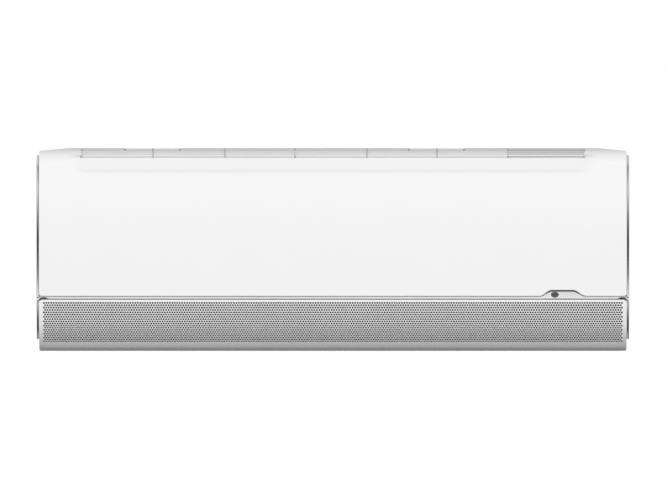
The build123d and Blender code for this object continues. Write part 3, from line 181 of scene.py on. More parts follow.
def smoothCopy(node, name, angle):
    # the part's own shape, merged so that its curved faces shade smoothly
    source = frame["nodes"][node]
    piece = bpy.data.objects.new(name, source.data.copy())
    bpy.context.scene.collection.objects.link(piece)
    piece.data.materials.clear()
    mergeDoubles(piece)
    takeUp(piece)
    bpy.ops.object.shade_smooth_by_angle(angle=math.radians(angle))
    applied(piece, "WEIGHTED_NORMAL", keep_sharp=True)
    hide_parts(node)
    return piece


def finishPiece(piece, body, material, slotName, *nodes):
    piece.data.materials.clear()
    piece.data.materials.append(material)
    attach(piece, body)
    if nodes:
        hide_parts(*nodes)


# Materials


class Signal:
    # wraps a socket, so that shader maths reads as sums

    def __init__(self, network, socket):
        self.network = network
        self.socket = socket

    def __add__(self, other):
        return self.network.maths("ADD", self, other)

    def __radd__(self, other):
        return self.network.maths("ADD", other, self)

    def __sub__(self, other):
        return self.network.maths("SUBTRACT", self, other)

    def __rsub__(self, other):
        return self.network.maths("SUBTRACT", other, self)

    def __mul__(self, other):
        return self.network.maths("MULTIPLY", self, other)

    def __rmul__(self, other):
        return self.network.maths("MULTIPLY", other, self)


class Network:
    # the nodes of a material or a world, all made by one method

    def __init__(self, owner):
        owner.use_nodes = True
        self.tree = owner.node_tree
        self.tree.nodes.clear()

    def node(self, kind, out=0, settings=None, **inputs):
        # an input named i and a number goes by its place among the sockets
        made = self.tree.nodes.new(kind)
        for name, value in (settings or {}).items():
            if name == "stops":
                self.setStops(made.color_ramp, value)
            else:
                setattr(made, name, value)
        for name, value in inputs.items():
            slot = made.inputs[int(name[1:]) if name[1:].isdigit() else name.replace("_", " ")]
            if isinstance(value, Signal):
                self.tree.links.new(value.socket, slot)
            else:
                slot.default_value = value
        return Signal(self, made.outputs[out]) if made.outputs else None

    def setStops(self, ramp, stops):
        while len(ramp.elements) < len(stops):
            ramp.elements.new(0.5)
        for element, (position, level) in zip(ramp.elements, stops):
            element.position = position
            element.color = (level, level, level, 1)

    def maths(self, operation, *values):
        inputs = {f"i{place}": value for place, value in enumerate(values)}
        return self.node("ShaderNodeMath", settings={"operation": operation}, **inputs)

    def blend(self, factor, first, second):
        # each colour is three numbers or another node's output
        ends = [colour if isinstance(colour, Signal) else (*colour, 1) for colour in (first, second)]
        mixing = {"data_type": "RGBA"}
        return self.node("ShaderNodeMix", out=2, settings=mixing, i0=factor, i6=ends[0], i7=ends[1])


class Finish(Network):
    # one material

    def __init__(self, name):
        self.material = bpy.data.materials.new(name)
        super().__init__(self.material)
        self.place = self.node("ShaderNodeTexCoord", out="Object")

    def axis(self, name):
        return self.node("ShaderNodeSeparateXYZ", out=name, Vector=self.place)

    def stretched(self, scale):
        return self.node("ShaderNodeMapping", Vector=self.place, Scale=scale)

    def noise(self, scale, detail=3.0, roughness=0.5, vector=None):
        place = vector or self.place
        return self.node("ShaderNodeTexNoise", Vector=place, Scale=scale, Detail=detail, Roughness=roughness)

    def marked(self, value, places, half):
        # 1 within half a width of any of the places, 0 elsewhere
        return sum(self.maths("COMPARE", value, place, half) for place in places)

    def bump(self, height, depth):
        return self.node("ShaderNodeBump", Strength=1.0, Distance=depth, Height=height)

    def surface(self, **inputs):
        self.node("ShaderNodeOutputMaterial", Surface=self.node("ShaderNodeBsdfPrincipled", **inputs))
        return self.material


plastics = {
    # name: low colour, high colour, roughness, its spread, grain size per metre, grain depth in metres
    "panelGloss": ((0.925, 0.927, 0.93), (0.94, 0.94, 0.942), 0.22, 0.06, 900, 0.000004),
    "frameWhite": ((0.86, 0.86, 0.855), (0.89, 0.89, 0.885), 0.42, 0.1, 2600, 0.00002),
    "filterWhite": ((0.90, 0.90, 0.90), (0.925, 0.925, 0.925), 0.45, 0.1, 2600, 0.00002),
    "innerWhite": ((0.76, 0.76, 0.75), (0.81, 0.81, 0.80), 0.5, 0.12, 1800, 0.00003),
    "chassisGrey": ((0.16, 0.165, 0.17), (0.21, 0.215, 0.22), 0.55, 0.15, 1500, 0.00004),
    "vaneDark": ((0.045, 0.045, 0.048), (0.07, 0.07, 0.073), 0.5, 0.12, 1800, 0.00003),
    "fanGrey": ((0.07, 0.072, 0.076), (0.10, 0.102, 0.108), 0.5, 0.12, 1500, 0.00003),
    "motorBody": ((0.55, 0.55, 0.53), (0.63, 0.63, 0.61), 0.5, 0.12, 1500, 0.00004),
    "rubberBlack": ((0.012, 0.012, 0.012), (0.03, 0.03, 0.03), 0.7, 0.15, 1200, 0.00005),
    # near-black, for the sheet behind the flap's holes: painted shade seen through them
    "holeShadeDark": ((0.008, 0.008, 0.009), (0.016, 0.016, 0.017), 0.95, 0.03, 1500, 0.00005),
}


def clouded(finish, name, scale=14):
    # the two colours of a plastic, mixed softly
    low, high = plastics[name][:2]
    return finish.blend(finish.noise(scale, detail=2), low, high)


def moulded(finish, colour, rough, roughSpread, grain, depth):
    return finish.surface(
        Base_Color=colour,
        Roughness=rough + roughSpread * (finish.noise(60, detail=4) - 0.5),
        IOR=1.5,
        Normal=finish.bump(finish.noise(grain, detail=2), depth),
    )


def plastic(name):
    finish = Finish(name)
    return moulded(finish, clouded(finish, name), *plastics[name][2:])


def flapWhite():
    # white down the perforated field, and greyer towards the plain band under it: painted shade where the
    # flap turns down away from the light
    finish = Finish("flapWhite")
    upper = finish.blend(finish.noise(14, detail=2), (0.93, 0.93, 0.93), (0.95, 0.95, 0.95))
    # the greyer lower colour is painted shade, blended in by height
    lower = finish.blend(finish.noise(30, detail=3), (0.66, 0.66, 0.66), (0.70, 0.70, 0.70))
    fadeStart, fadeEnd = -0.120, -0.148
    shadeBand = finish.node("ShaderNodeMapRange", Value=finish.axis("Z"), From_Min=fadeStart, From_Max=fadeEnd)
    colour = finish.blend(shadeBand, upper, lower)
    return moulded(finish, colour, rough=0.36, roughSpread=0.08, grain=2600, depth=0.000015)


def carrierWhite():
    # moulded white, with a dark strip painted along the upper edge behind the gap over the flap, as painted
    # shade in that gap
    finish = Finish("carrierWhite")
    # painted shade: a dark strip, in the rubber's black, where the gap over the flap lies in shadow
    gapShadeHalf = 0.0015
    gapShade = finish.marked(finish.axis("Z"), [casing["flapTop"]], gapShadeHalf)
    white, dark = clouded(finish, "innerWhite"), clouded(finish, "rubberBlack", 1200)
    return moulded(finish, finish.blend(gapShade, white, dark), *plastics["innerWhite"][2:])


def trimChrome():
    # vacuum-plated plastic, with faint polish lines along the unit
    finish = Finish("trimChrome")
    lines = finish.noise(90, detail=2, vector=finish.stretched((1, 30, 30)))
    clouds = finish.noise(35, detail=3)
    return finish.surface(
        Base_Color=finish.blend(clouds, (0.62, 0.625, 0.635), (0.72, 0.725, 0.735)),
        Metallic=1.0,
        Roughness=0.06 + 0.06 * lines,
        Normal=finish.bump(lines, 0.0000015),
    )


strip = {
    # heights of the grooves, places of the bars between the bays and of the handles, and half their widths
    "front": 0.1452,
    "grooves": (0.1578, 0.1547, 0.1515, 0.1472),
    "grooveHalf": 0.0006,
    "bars": (-0.2854, -0.1712, -0.0601, 0.0541, 0.1652, 0.2778),
    "barHalf": 0.0011,
    "handleEnds": (-0.3298, -0.2426, 0.1207, 0.2080),
    "handleHalf": 0.0016,
    "handleHeight": 0.1583,
    "handleRise": 0.0011,
    "ventStart": 0.279,
    # how dark the painted shade of each gets, from 0 to 1
    "grooveShade": 0.36,
    "ventShade": 0.45,
    "barShade": 0.5,
    "handleShade": 0.75,
}


def stripWhite():
    # filter covers, with painted shade in their grooves, in the seams between their bays and at their
    # handles
    finish = Finish("stripWhite")
    along, height = finish.axis("X"), finish.axis("Z")
    vent = finish.maths("GREATER_THAN", along, strip["ventStart"])
    # painted shade: dark lines in the grooves, the seams between the bays and at the handles
    grooves = finish.marked(height, strip["grooves"], strip["grooveHalf"])
    bars = finish.marked(along, strip["bars"], strip["barHalf"])
    ends = finish.marked(along, strip["handleEnds"], strip["handleHalf"])
    handles = ends * finish.marked(height, [strip["handleHeight"]], strip["handleRise"])
    lines = grooves * (strip["grooveShade"] + strip["ventShade"] * vent)
    shade = finish.maths("MAXIMUM", lines, bars * strip["barShade"])
    shade = finish.maths("MAXIMUM", shade, handles * strip["handleShade"])
    front = finish.maths("GREATER_THAN", height, strip["front"])
    colour = finish.blend(shade * front, clouded(finish, "filterWhite"), (0.10, 0.10, 0.10))
    return moulded(finish, colour, *plastics["filterWhite"][2:])


def sheetMetal(name, low, high, roughness, spangle):
    finish = Finish(name)
    flakes = finish.node("ShaderNodeTexVoronoi", out="Color", Vector=finish.place, Scale=spangle)
    shade = finish.node("ShaderNodeSeparateColor", Color=flakes)
    return finish.surface(
        Base_Color=finish.blend(shade, low, high),
        Metallic=1.0,
        Roughness=roughness + 0.18 * shade + 0.08 * finish.noise(300),
        Normal=finish.bump(finish.noise(700), 0.00001),
    )


def tubeCopper(name, low, high):
    finish = Finish(name)
    stains = finish.noise(45, detail=5, roughness=0.65)
    return finish.surface(
        Base_Color=finish.blend(stains, low, high),
        Metallic=1.0,
        Roughness=0.22 + 0.3 * stains,
        Normal=finish.bump(finish.noise(1200), 0.000008),
    )


def finPack():
    # thin aluminium fins across the unit, at their real pitch
    finish = Finish("finPack")
    finsPerMetre = 700
    phase = finish.maths("FRACT", finish.axis("X") * finsPerMetre)
    edge = finish.maths("PINGPONG", phase, 0.5)
    shade = finish.node("ShaderNodeMapRange", Value=edge, From_Min=0.12, From_Max=0.3)
    return finish.surface(
        Base_Color=finish.blend(shade, (0.10, 0.13, 0.15), (0.62, 0.70, 0.74)),
        Metallic=0.7 * shade,
        Roughness=0.35 + 0.15 * finish.noise(200),
        Normal=finish.bump(shade, 0.0003),
    )


def foamSleeve():
    finish = Finish("foamSleeve")
    cells = finish.node("ShaderNodeTexVoronoi", out="Distance", Vector=finish.place, Scale=1300)
    return finish.surface(
        Base_Color=finish.blend(finish.noise(60, detail=4), (0.022, 0.022, 0.023), (0.05, 0.05, 0.052)),
        Roughness=0.75 + 0.2 * cells,
        Normal=finish.bump(cells, 0.00025),
    )


def filterMesh():
    # woven dust mesh, two sets of threads 1.1 mm apart
    finish = Finish("filterMesh")
    threads = [
        finish.node("ShaderNodeTexWave", settings={"bands_direction": way}, Vector=finish.place, Scale=286)
        for way in ("X", "Z")
    ]
    weave = finish.maths("MAXIMUM", *threads)
    return finish.surface(
        Base_Color=finish.blend(weave, (0.10, 0.10, 0.105), (0.62, 0.63, 0.64)),
        Roughness=0.6 + 0.1 * weave,
        Normal=finish.bump(weave, 0.0002),
    )


def boardGreen():
    finish = Finish("boardGreen")
    tracks = finish.node(
        "ShaderNodeTexBrick",
        out="Color",
        Vector=finish.place,
        Scale=110,
        i1=(0.5, 0.5, 0.5, 1),
        i2=(1, 1, 1, 1),
    )
    shade = finish.node("ShaderNodeSeparateColor", Color=tracks)
    return finish.surface(
        Base_Color=finish.blend(shade, (0.010, 0.055, 0.022), (0.02, 0.115, 0.045)),
        Roughness=0.32 + 0.1 * finish.noise(90),
        Normal=finish.bump(shade, 0.00004),
    )


def lensDark():
    # smoked window with a clear coat
    finish = Finish("lensDark")
    clouds = finish.noise(260, detail=3)
    return finish.surface(
        Base_Color=finish.blend(clouds, (0.055, 0.055, 0.06), (0.11, 0.11, 0.115)),
        Roughness=0.12 + 0.08 * clouds,
        Coat_Weight=0.6,
        Coat_Roughness=0.05,
        Normal=finish.bump(clouds, 0.00001),
    )


surfaces = {name: plastic(name) for name in plastics}
surfaces["trimChrome"] = trimChrome()
surfaces["stripWhite"] = stripWhite()
surfaces["flapWhite"] = flapWhite()
surfaces["carrierWhite"] = carrierWhite()
surfaces["zinc"] = sheetMetal("zinc", (0.42, 0.43, 0.45), (0.60, 0.61, 0.63), 0.34, 160)
surfaces["steel"] = sheetMetal("steel", (0.36, 0.36, 0.37), (0.48, 0.48, 0.49), 0.3, 900)
surfaces["copper"] = tubeCopper("copper", (0.46, 0.16, 0.075), (0.72, 0.32, 0.18))
surfaces["brass"] = tubeCopper("brass", (0.55, 0.36, 0.12), (0.76, 0.55, 0.22))
surfaces["paintedMotor"] = sheetMetal("paintedMotor", (0.30, 0.31, 0.32), (0.40, 0.41, 0.42), 0.3, 500)
surfaces["finPack"] = finPack()
surfaces["foam"] = foamSleeve()
surfaces["filterMesh"] = filterMesh()
surfaces["board"] = boardGreen()
surfaces["lensDark"] = lensDark()
print("materials ready:", len(surfaces))


# Front panel: one moulded skin from the lower edge, over the bowed front and round the shoulders

panel = {
    "low": -0.0739,
    "cornerRadius": 0.005,
    "wall": 0.0021,
    "returnDepth": 0.014,
    "stripHalf": 0.4003,
    "stripTop": 0.145,
    "edgeBack": 0.1475,
    "creaseTail": 0.111,
    "creaseLow": 0.1205,
    "creaseHigh": 0.128,
    "lipDepth": 0.1872,
    "humpFeet": (0.3276, 0.4018),
    "humpTop": (0.3468, 0.3808),
    "humpRise": 0.0097,
    "humpReach": 0.04,
    "lipEnds": (0.386, 0.417),
    "lipLean": 0.25,
    "lipShare": 0.82,
    "lipEase": 0.004,
    "lipFade": 0.006,
    "shelfRise": (0, 0.0006, 0.0004),
    "shelfRun": (0, 0.0062, 0),
    "turnRise": 0.0046,
    "slopeStart": 0.418,
    "slopeDrop": 0.0045,
    "topCorner": 0.0035,
    "edgeRound": 0.0008,
    "edgeShare": 0.3,
    "cutMargin": 0.0001,
    # where the rows and columns of the skin stand closer than their even spacing
    "lowRises": (0.0008, 0.0016, 0.0026, 0.0038, 0.005),
    "shoulderRows": (0.1315, 0.1345, 0.1375, 0.1405, 0.1432, 0.1444, 0.145),
    "middleColumns": (0.04, 0.12, 0.2, 0.28),
    "endColumns": (
        0.4045, 0.4065, 0.409, 0.4115, 0.4145, 0.418, 0.422, 0.43,
        0.44, 0.45, 0.4577, 0.4612, 0.4627, 0.464, 0.465,
    ),
}


def smoothStep(low, high, value):
    share = min(1.0, max(0.0, (value - low) / (high - low)))
    return share * share * (3 - 2 * share)


def humpShare(x, ease=0.0):
    # 1 over the receiver's hump, 0 outside its feet
    feet, top = panel["humpFeet"], panel["humpTop"]
    return smoothStep(feet[0] + ease, top[0] + ease, x) * (1 - smoothStep(top[1] - ease, feet[1] - ease, x))


def topHeight(x):
    # the casing's top falls a little towards its ends and turns down at the corner
    half = casing["bodyHalf"]
    slope = panel["slopeDrop"] / (half - panel["slopeStart"])
    height = casing["top"] - slope * max(0.0, x - panel["slopeStart"])
    reach = x - (half - panel["topCorner"])
    if reach > 0:
        height -= panel["topCorner"] - math.sqrt(max(0.0, panel["topCorner"] ** 2 - reach**2))
    return height


def panelHalfWidth(z):
    rise = z - panel["low"]
    radius = panel["cornerRadius"]
    if rise >= radius:
        return casing["bodyHalf"]
    return casing["bodyHalf"] - radius + math.sqrt(radius**2 - (radius - max(0.0, rise)) ** 2)


def panelRows():
    # each row: the curve it lies on, its height, angle or depth there, and how far it is set in
    low, edge = panel["low"], panel["edgeRound"]
    part = edge * panel["edgeShare"]
    tail, crease = panel["creaseTail"], panel["creaseHigh"]
    rows = [("front", low, panel["returnDepth"]), ("front", low, edge), ("front", low + part, part)]
    rows += [("front", low + rise, 0.0) for rise in panel["lowRises"]]
    heights = spread(low + panel["cornerRadius"], tail, steps=22, first=1)
    heights += spread(tail, crease, steps=18, first=1)
    rows += [("front", height, 0.0) for height in heights]
    rows += [("shoulder", height, 0.0) for height in panel["shoulderRows"]]
    start = math.asin((panel["stripTop"] - casing["shoulderHeight"]) / casing["shoulderRadius"])
    rows += [("turn", angle, 0.0) for angle in spread(start, math.pi / 2, steps=14, first=1)]
    return [*rows, ("top", panel["edgeBack"], 0.0)]


def panelColumns():
    # each column: its place along the unit and how far it is set in
    edge, half = panel["edgeRound"], casing["bodyHalf"]
    part = edge * panel["edgeShare"]
    hump = spread(*panel["humpFeet"], steps=36)
    places = sorted([*panel["middleColumns"], *hump, panel["stripHalf"]]) + list(panel["endColumns"])
    columns = [(x, 0.0) for x in places]
    columns += [(half - edge, 0.0), (half - part, part), (half, edge), (half, panel["returnDepth"])]
    return [(-x, inset) for x, inset in reversed(columns)] + columns


def humpLift(x, value):
    # the lower edge rises over the receiver's hump, and the rows above it close up
    rise = humpShare(x) * panel["humpRise"]
    return rise * max(0.0, 1 - (value - panel["low"]) / panel["humpReach"])


def lipReach(reach, z):
    # how fully the lip under the intake strip stands out, from 0 to 1
    low, high = panel["lipEnds"]
    tail, middle, crease = panel["creaseTail"], panel["creaseLow"], panel["creaseHigh"]
    share = panel["lipShare"]
    ends = 1 - smoothStep(low, high, reach - panel["lipLean"] * (z - crease))
    rise = share * smoothStep(middle, crease, z)
    rise += (1 - share) * smoothStep(tail, middle + panel["lipEase"], z)
    fade = 1 - smoothStep(panel["stripTop"], panel["stripTop"] + panel["lipFade"], z)
    return ends * rise * fade


def panelPoint(x, inset, row):
    kind, value, rowInset = row
    if kind == "front":
        value += humpLift(x, value)
    inset = max(inset, rowInset)
    centre, radius = casing["frontCentre"], casing["frontRadius"]
    if kind == "turn" or kind == "shoulder" and value > casing["shoulderCentre"][1] + panel["turnRise"]:
        centre, radius = casing["shoulderCentre"], casing["shoulderRadius"]
    if kind == "top":
        u, z = value, casing["top"] - inset
    else:
        angle = value if kind == "turn" else math.asin((value - centre[1]) / radius)
        u, z = onCircle(centre, radius - inset, angle)
    if kind == "front" and rowInset:
        z = value
    reach = abs(x)
    if kind != "top" and inset == 0.0:
        u += max(0.0, panel["lipDepth"] - u) * lipReach(reach, z)
    return u, min(z, topHeight(reach) - (inset if kind in ("turn", "top") else 0.0))


def makePanel():
    rows = panelRows()
    columns = panelColumns()

    def place(column, row):
        x, inset = columns[column]
        u, z = panelPoint(x, inset, rows[row])
        reach = panelHalfWidth(z) if rows[row][0] == "front" else casing["bodyHalf"]
        return math.copysign(min(abs(x), reach), x), u, z

    piece = gridSheet("frontPanel", len(columns), len(rows), place)
    half, top = panel["stripHalf"], panel["stripTop"] + panel["cutMargin"]
    dropFaces(piece, lambda face: abs(face.center.x) < half and face.center.z > top)
    mergeDoubles(piece)
    faceOutwards(piece)
    shelveLip(piece)
    applied(piece, "SOLIDIFY", thickness=panel["wall"], offset=-1, use_quality_normals=True)
    settled(piece, angle=40)
    return piece


def shelveLip(piece):
    # the lip's upper edge turns back towards the intake strip
    editWhole(piece)
    bpy.ops.mesh.select_mode(type="EDGE")
    bpy.ops.mesh.select_all(action="DESELECT")
    editDone()
    slack = 2e-5
    points = piece.data.vertices
    for edge in piece.data.edges:
        ends = [points[index].co for index in edge.vertices]
        level = all(abs(end.z - panel["stripTop"]) < slack for end in ends)
        edge.select = level and all(abs(end.x) < panel["stripHalf"] + slack for end in ends)
    bpy.ops.object.mode_set(mode="EDIT")
    for way in (panel["shelfRise"], panel["shelfRun"]):
        bpy.ops.mesh.extrude_region_move(TRANSFORM_OT_translate={"value": way})
    editDone()


hinge = {
    # barrel on the strip's end pin
    "x": 0.4037,
    "depth": 0.149,
    "z": 0.1574,
    "radius": 0.0034,
    "length": 0.0046,
    "bevel": 0.0004,
}


def makeHingeBarrel(side, end):
    deselectAll()
    bpy.ops.mesh.primitive_cylinder_add(
        vertices=24,
        radius=hinge["radius"],
        depth=hinge["length"],
        location=(side * hinge["x"], -hinge["depth"], hinge["z"]),
        rotation=(0, math.pi / 2, 0),
    )
    barrel = fresh("panelBarrel" + end)
    applied(barrel, "BEVEL", width=hinge["bevel"], segments=2)
    settled(barrel)
    return barrel


frontPanel = makePanel()
finishPiece(frontPanel, "panel", surfaces["panelGloss"], "panel_white", "front_panel")
for side, end in sides:
    finishPiece(makeHingeBarrel(side, end), "panel", surfaces["panelGloss"], "panel_white")
print("front panel ready:", len(frontPanel.data.polygons), "faces")


# Flap: a moulded rim, a finely perforated sheet in two halves and a near-black sheet behind the holes as
# painted shade

flap = {
    "skin": 0.0012,
    "topGap": 0.0003,
    "corner": 0.0063,
    "chamferLow": -0.1585,
    "chamferRun": 2.0,
    "columnPitch": 0.003918,
    "columns": 235,
    "rows": 19,
    "firstRow": -0.0846,
    "lastRow": -0.1459,
    "holeRadius": 0.00158,
    "sheetInset": 0.00004,
    "borderInset": 0.0003,
    "sheetThickness": 0.0006,
    "holeShadeInset": 0.0009,
    "holeShadeThickness": 0.0002,
    "holeShadeOverlap": (0.001, 0.01),
    "windowMargin": 0.0019,
    "windowGap": 0.0007,
    "windowEdge": 0.0008,
    # how far the sheet's border reaches under the rim, as an angle
    "overlapAngle": 0.004,
    "rimBevel": 0.00008,
    "middleColumns": (0.15, 0.3, 0.45),
    "endColumns": (0.4614, 0.4627, 0.464, 0.4651, 0.4658),
}


def rowAngle(height):
    return math.asin((casing["flapCentre"][1] - height) / casing["flapRadius"])


def flapPoint(angle, inset=0.0):
    # the angle runs from the flap's top, over the nose, to the flat underside
    if angle <= casing["flapEnd"]:
        return onCircle(casing["flapCentre"], casing["flapRadius"] - inset, -angle)
    if angle <= math.pi / 2:
        return onCircle(casing["noseCentre"], casing["noseRadius"] - inset, -angle)
    back = casing["noseCentre"][0] - (angle - math.pi / 2)
    return (back, casing["bottom"] + inset)


def flapCorner():
    # centre of the rounding at the flap's upper corners
    return casing["bodyHalf"] - flap["corner"], casing["flapTop"] - flap["topGap"] - flap["corner"]


def skinDepth(z, inset=0.0):
    # depth of the casing's outer curve at a height, set in from it
    for start, centre, radius in (
        (casing["shoulderHeight"], casing["shoulderCentre"], casing["shoulderRadius"]),
        (casing["flapTop"], casing["frontCentre"], casing["frontRadius"]),
        (flapPoint(casing["flapEnd"])[1], casing["flapCentre"], casing["flapRadius"]),
        (-1, casing["noseCentre"], casing["noseRadius"]),
    ):
        if z >= start:
            return centre[0] + math.sqrt(max(0.0, (radius - inset) ** 2 - (z - centre[1]) ** 2))


def flapHalfWidth(z):
    half = casing["bodyHalf"]
    fall = z - flapCorner()[1]
    if fall > 0:
        return half - flap["corner"] + math.sqrt(max(0.0, flap["corner"] ** 2 - fall**2))
    return half - max(0.0, flap["chamferLow"] - z) * flap["chamferRun"]


def flapWindow():
    first, last = rowAngle(flap["firstRow"]), rowAngle(flap["lastRow"])
    margin = flap["windowMargin"] / casing["flapRadius"]
    half = flap["columnPitch"] * (flap["columns"] - 1) / 2 + flap["holeRadius"] + flap["windowGap"]
    return first - margin, last + margin, half


def rimAngles(start, end):
    # rows stand closer towards the top, where the corners are round
    top = casing["flapStart"] + flap["topGap"] / casing["flapRadius"]
    turn = casing["flapEnd"]
    angles = [top + (start - top) * share**2 for share in spread(0, 1, steps=12)]
    angles += spread(start, end, steps=24, first=1) + spread(end, turn, steps=2, first=1)
    angles += spread(turn, math.pi / 2, steps=12, first=1)
    return [*angles, math.pi / 2 + casing["noseCentre"][0] - casing["flapBack"]]


def makeFlapRim():
    start, end, half = flapWindow()
    angles = rimAngles(start, end)
    window = [half, half + flap["windowEdge"]]
    rights = [*flap["middleColumns"], *window, *flap["endColumns"], casing["bodyHalf"]]
    columns = [-x for x in reversed(rights)] + rights
    low, high = flapPoint(end)[1], flapPoint(start)[1]

    def place(column, row):
        u, z = flapPoint(angles[row])
        reach = min(abs(columns[column]), flapHalfWidth(z))
        return math.copysign(reach, columns[column]), u, z

    piece = gridSheet("flapRim", len(columns), len(angles), place)
    dropFaces(piece, lambda face: abs(face.center.x) < half and low < face.center.z < high)
    mergeDoubles(piece)
    faceOutwards(piece)
    applied(piece, "SOLIDIFY", thickness=flap["skin"], offset=-1)
    bevelled(piece, flap["rimBevel"], segments=1, angle=60)
    settled(piece, angle=40)
    applied(piece, "WEIGHTED_NORMAL", keep_sharp=True)
    return piece


def rowPitch():
    first, last = rowAngle(flap["firstRow"]), rowAngle(flap["lastRow"])
    return (last - first) / (flap["rows"] - 1) * casing["flapRadius"]


def hexCell(holed):
    # one six-sided cell, flat in X and Y, drawn out so that neighbours share its edges
    deselectAll()
    bpy.ops.mesh.primitive_circle_add(vertices=6, radius=1, fill_type="NOTHING" if holed else "NGON")
    piece = fresh("cell")
    corners = [(0, 2 / 3), (-0.5, 1 / 3), (-0.5, -1 / 3), (0, -2 / 3), (0.5, -1 / 3), (0.5, 1 / 3)]
    for vertex, (x, y) in zip(piece.data.vertices, corners):
        vertex.co = (x * flap["columnPitch"], y * rowPitch(), 0)
    editWhole(piece)
    if holed:
        bpy.ops.mesh.subdivide(number_cuts=1)
        bpy.ops.mesh.primitive_circle_add(vertices=12, radius=flap["holeRadius"], fill_type="NOTHING")
        bpy.ops.mesh.select_all(action="SELECT")
        bpy.ops.mesh.bridge_edge_loops()
    editDone()
    points = [tuple(vertex.co) for vertex in piece.data.vertices]
    faces = [tuple(face.vertices) for face in piece.data.polygons]
    bpy.data.objects.remove(piece)
    return points, faces


def cellPlaces():
    # the hole rows stand half a pitch apart in turn, and plain cells finish the sheet all round
    pitch = flap["columnPitch"]
    count = flap["columns"]
    places = []
    for row in range(-1, flap["rows"] + 1):
        shifted = row % 2 == 1
        inside = 0 <= row < flap["rows"]
        for column in range(-1, count + 1):
            x = (column - (count - 1) / 2 + (0.5 if shifted else 0.0)) * pitch
            last = count - 2 if shifted else count - 1
            places.append((x, row, inside and 0 <= column <= last))
    return places


def sheetPoint(x, along):
    # the sheet's border dips under the rim of the window
    start, end, half = flapWindow()
    overlap = flap["overlapAngle"]
    angle = rowAngle(flap["firstRow"]) + along / casing["flapRadius"]
    angle = min(end + overlap, max(start - overlap, angle))
    covered = angle < start or angle > end or abs(x) > half
    inset = flap["borderInset"] if covered else flap["sheetInset"]
    u, z = onCircle(casing["flapCentre"], casing["flapRadius"] - inset, -angle)
    return x, -u, z


def makeSheet(name, test):
    holed, plain = hexCell(True), hexCell(False)
    pitch = rowPitch()
    points, faces = [], []
    for x, row, hole in cellPlaces():
        if not test(x):
            continue
        cell = holed if hole else plain
        base = len(points)
        points += [sheetPoint(x + px, row * pitch - py) for px, py, _ in cell[0]]
        faces += [tuple(base + index for index in face) for face in cell[1]]
    mesh = bpy.data.meshes.new(name)
    mesh.from_pydata(points, [], faces)
    piece = bpy.data.objects.new(name, mesh)
    bpy.context.scene.collection.objects.link(piece)
    mergeDoubles(piece)
    editWhole(piece)
    bpy.ops.mesh.normals_make_consistent(inside=False)
    editDone()
    faceOutwards(piece)
    applied(piece, "SOLIDIFY", thickness=flap["sheetThickness"], offset=-1)
    settled(piece, angle=40)
    return piece


# a near-black sheet behind the holes: painted shade for the dark seen through them
def makeHoleShadeSheet():
    start, end, half = flapWindow()
    beside, beyond = flap["holeShadeOverlap"]
    angles = spread(start - beyond, end + beyond, steps=26)
    columns = [-half - beside, 0.0, half + beside]

    def place(column, row):
        u, z = flapPoint(angles[row], flap["holeShadeInset"])
        return columns[column], u, z

    piece = gridSheet("flapHoleShadeSheet", len(columns), len(angles), place)
    faceOutwards(piece)
    applied(piece, "SOLIDIFY", thickness=flap["holeShadeThickness"], offset=-1)
    settled(piece)
    return piece


flapRim = makeFlapRim()
finishPiece(flapRim, "flap", surfaces["flapWhite"], "flap_perforated", "flap_skin")
for name, test in (("flapSheetLeft", lambda x: x < 0), ("flapSheetRight", lambda x: x >= 0)):
    sheet = makeSheet(name, test)
    finishPiece(sheet, "flap", surfaces["flapWhite"], "flap_perforated")
    print(name, len(sheet.data.polygons), "faces")
finishPiece(makeHoleShadeSheet(), "flap", surfaces["holeShadeDark"], "flap_perforated")
print("flap ready")


# Receiver window: a domed oval lens

lens = {"x": 0.352, "z": -0.0712, "width": 0.0124, "height": 0.0103, "rise": 0.0007}


def makeLens():
    depth = skinDepth(lens["z"]) - lens["rise"]
    deselectAll()
    bpy.ops.mesh.primitive_uv_sphere_add(
        segments=48, ring_count=24, radius=0.5, location=(lens["x"], -depth, lens["z"])
    )
    piece = fresh("receiverLens")
    bpy.ops.transform.resize(value=(lens["width"], 2 * lens["rise"], lens["height"]))
    settled(piece, angle=80)
    return piece


finishPiece(makeLens(), "body", surfaces["lensDark"], "lens_dark", "receiver_lens")


# Bright trims: a bar down each side, in two lengths, and the face round the top of the outlet

trim = {
    "outer": 0.470,
    "inner": 0.46665,
    "inset": 0.0015,
    "depth": 0.0265,
    "round": 0.0012,
    "bevel": 0.0003,
    "sideLow": -0.0740,
    "sideHigh": 0.1499,
    "legLow": -0.142,
    "legHigh": -0.0850,
    "faceInset": 0.0007,
    "faceTop": -0.0745,
    "faceGap": 0.0010,
    "faceRoll": 0.0005,
    "endRoll": 0.0034,
    "endStart": 0.450,
    "endFull": 0.459,
    "endEase": 0.36,
    "faceWall": 0.0006,
    "endRadius": 0.002,
    "humpRise": 0.0104,
    "humpEase": 0.0005,
    "crown": 0.00025,
    "crownStart": 0.85,
    # first of the evenly spaced columns, and the shares of the end radius at which the last ones stand
    "evenStart": -0.44,
    "endShares": (0, 0.05, 0.13, 0.25, 0.4, 0.6, 0.8, 1),
    "rowCrowding": 1.4,
}


def trimSection():
    # once round the bar: across the front, round the outer corner, back and along the inner side
    inner, outer, corner, depth = trim["inner"], trim["outer"], trim["round"], trim["depth"]
    ring = [(inner, 0.0), ((inner + outer - corner) / 2, 0.0)]
    ring += [onCircle((outer - corner, -corner), corner, angle) for angle in spread(math.pi / 2, 0, steps=8)]
    return ring + [(outer, -depth / 2), (outer, -depth), (inner, -depth), (inner, -depth / 2), (inner, 0.0)]


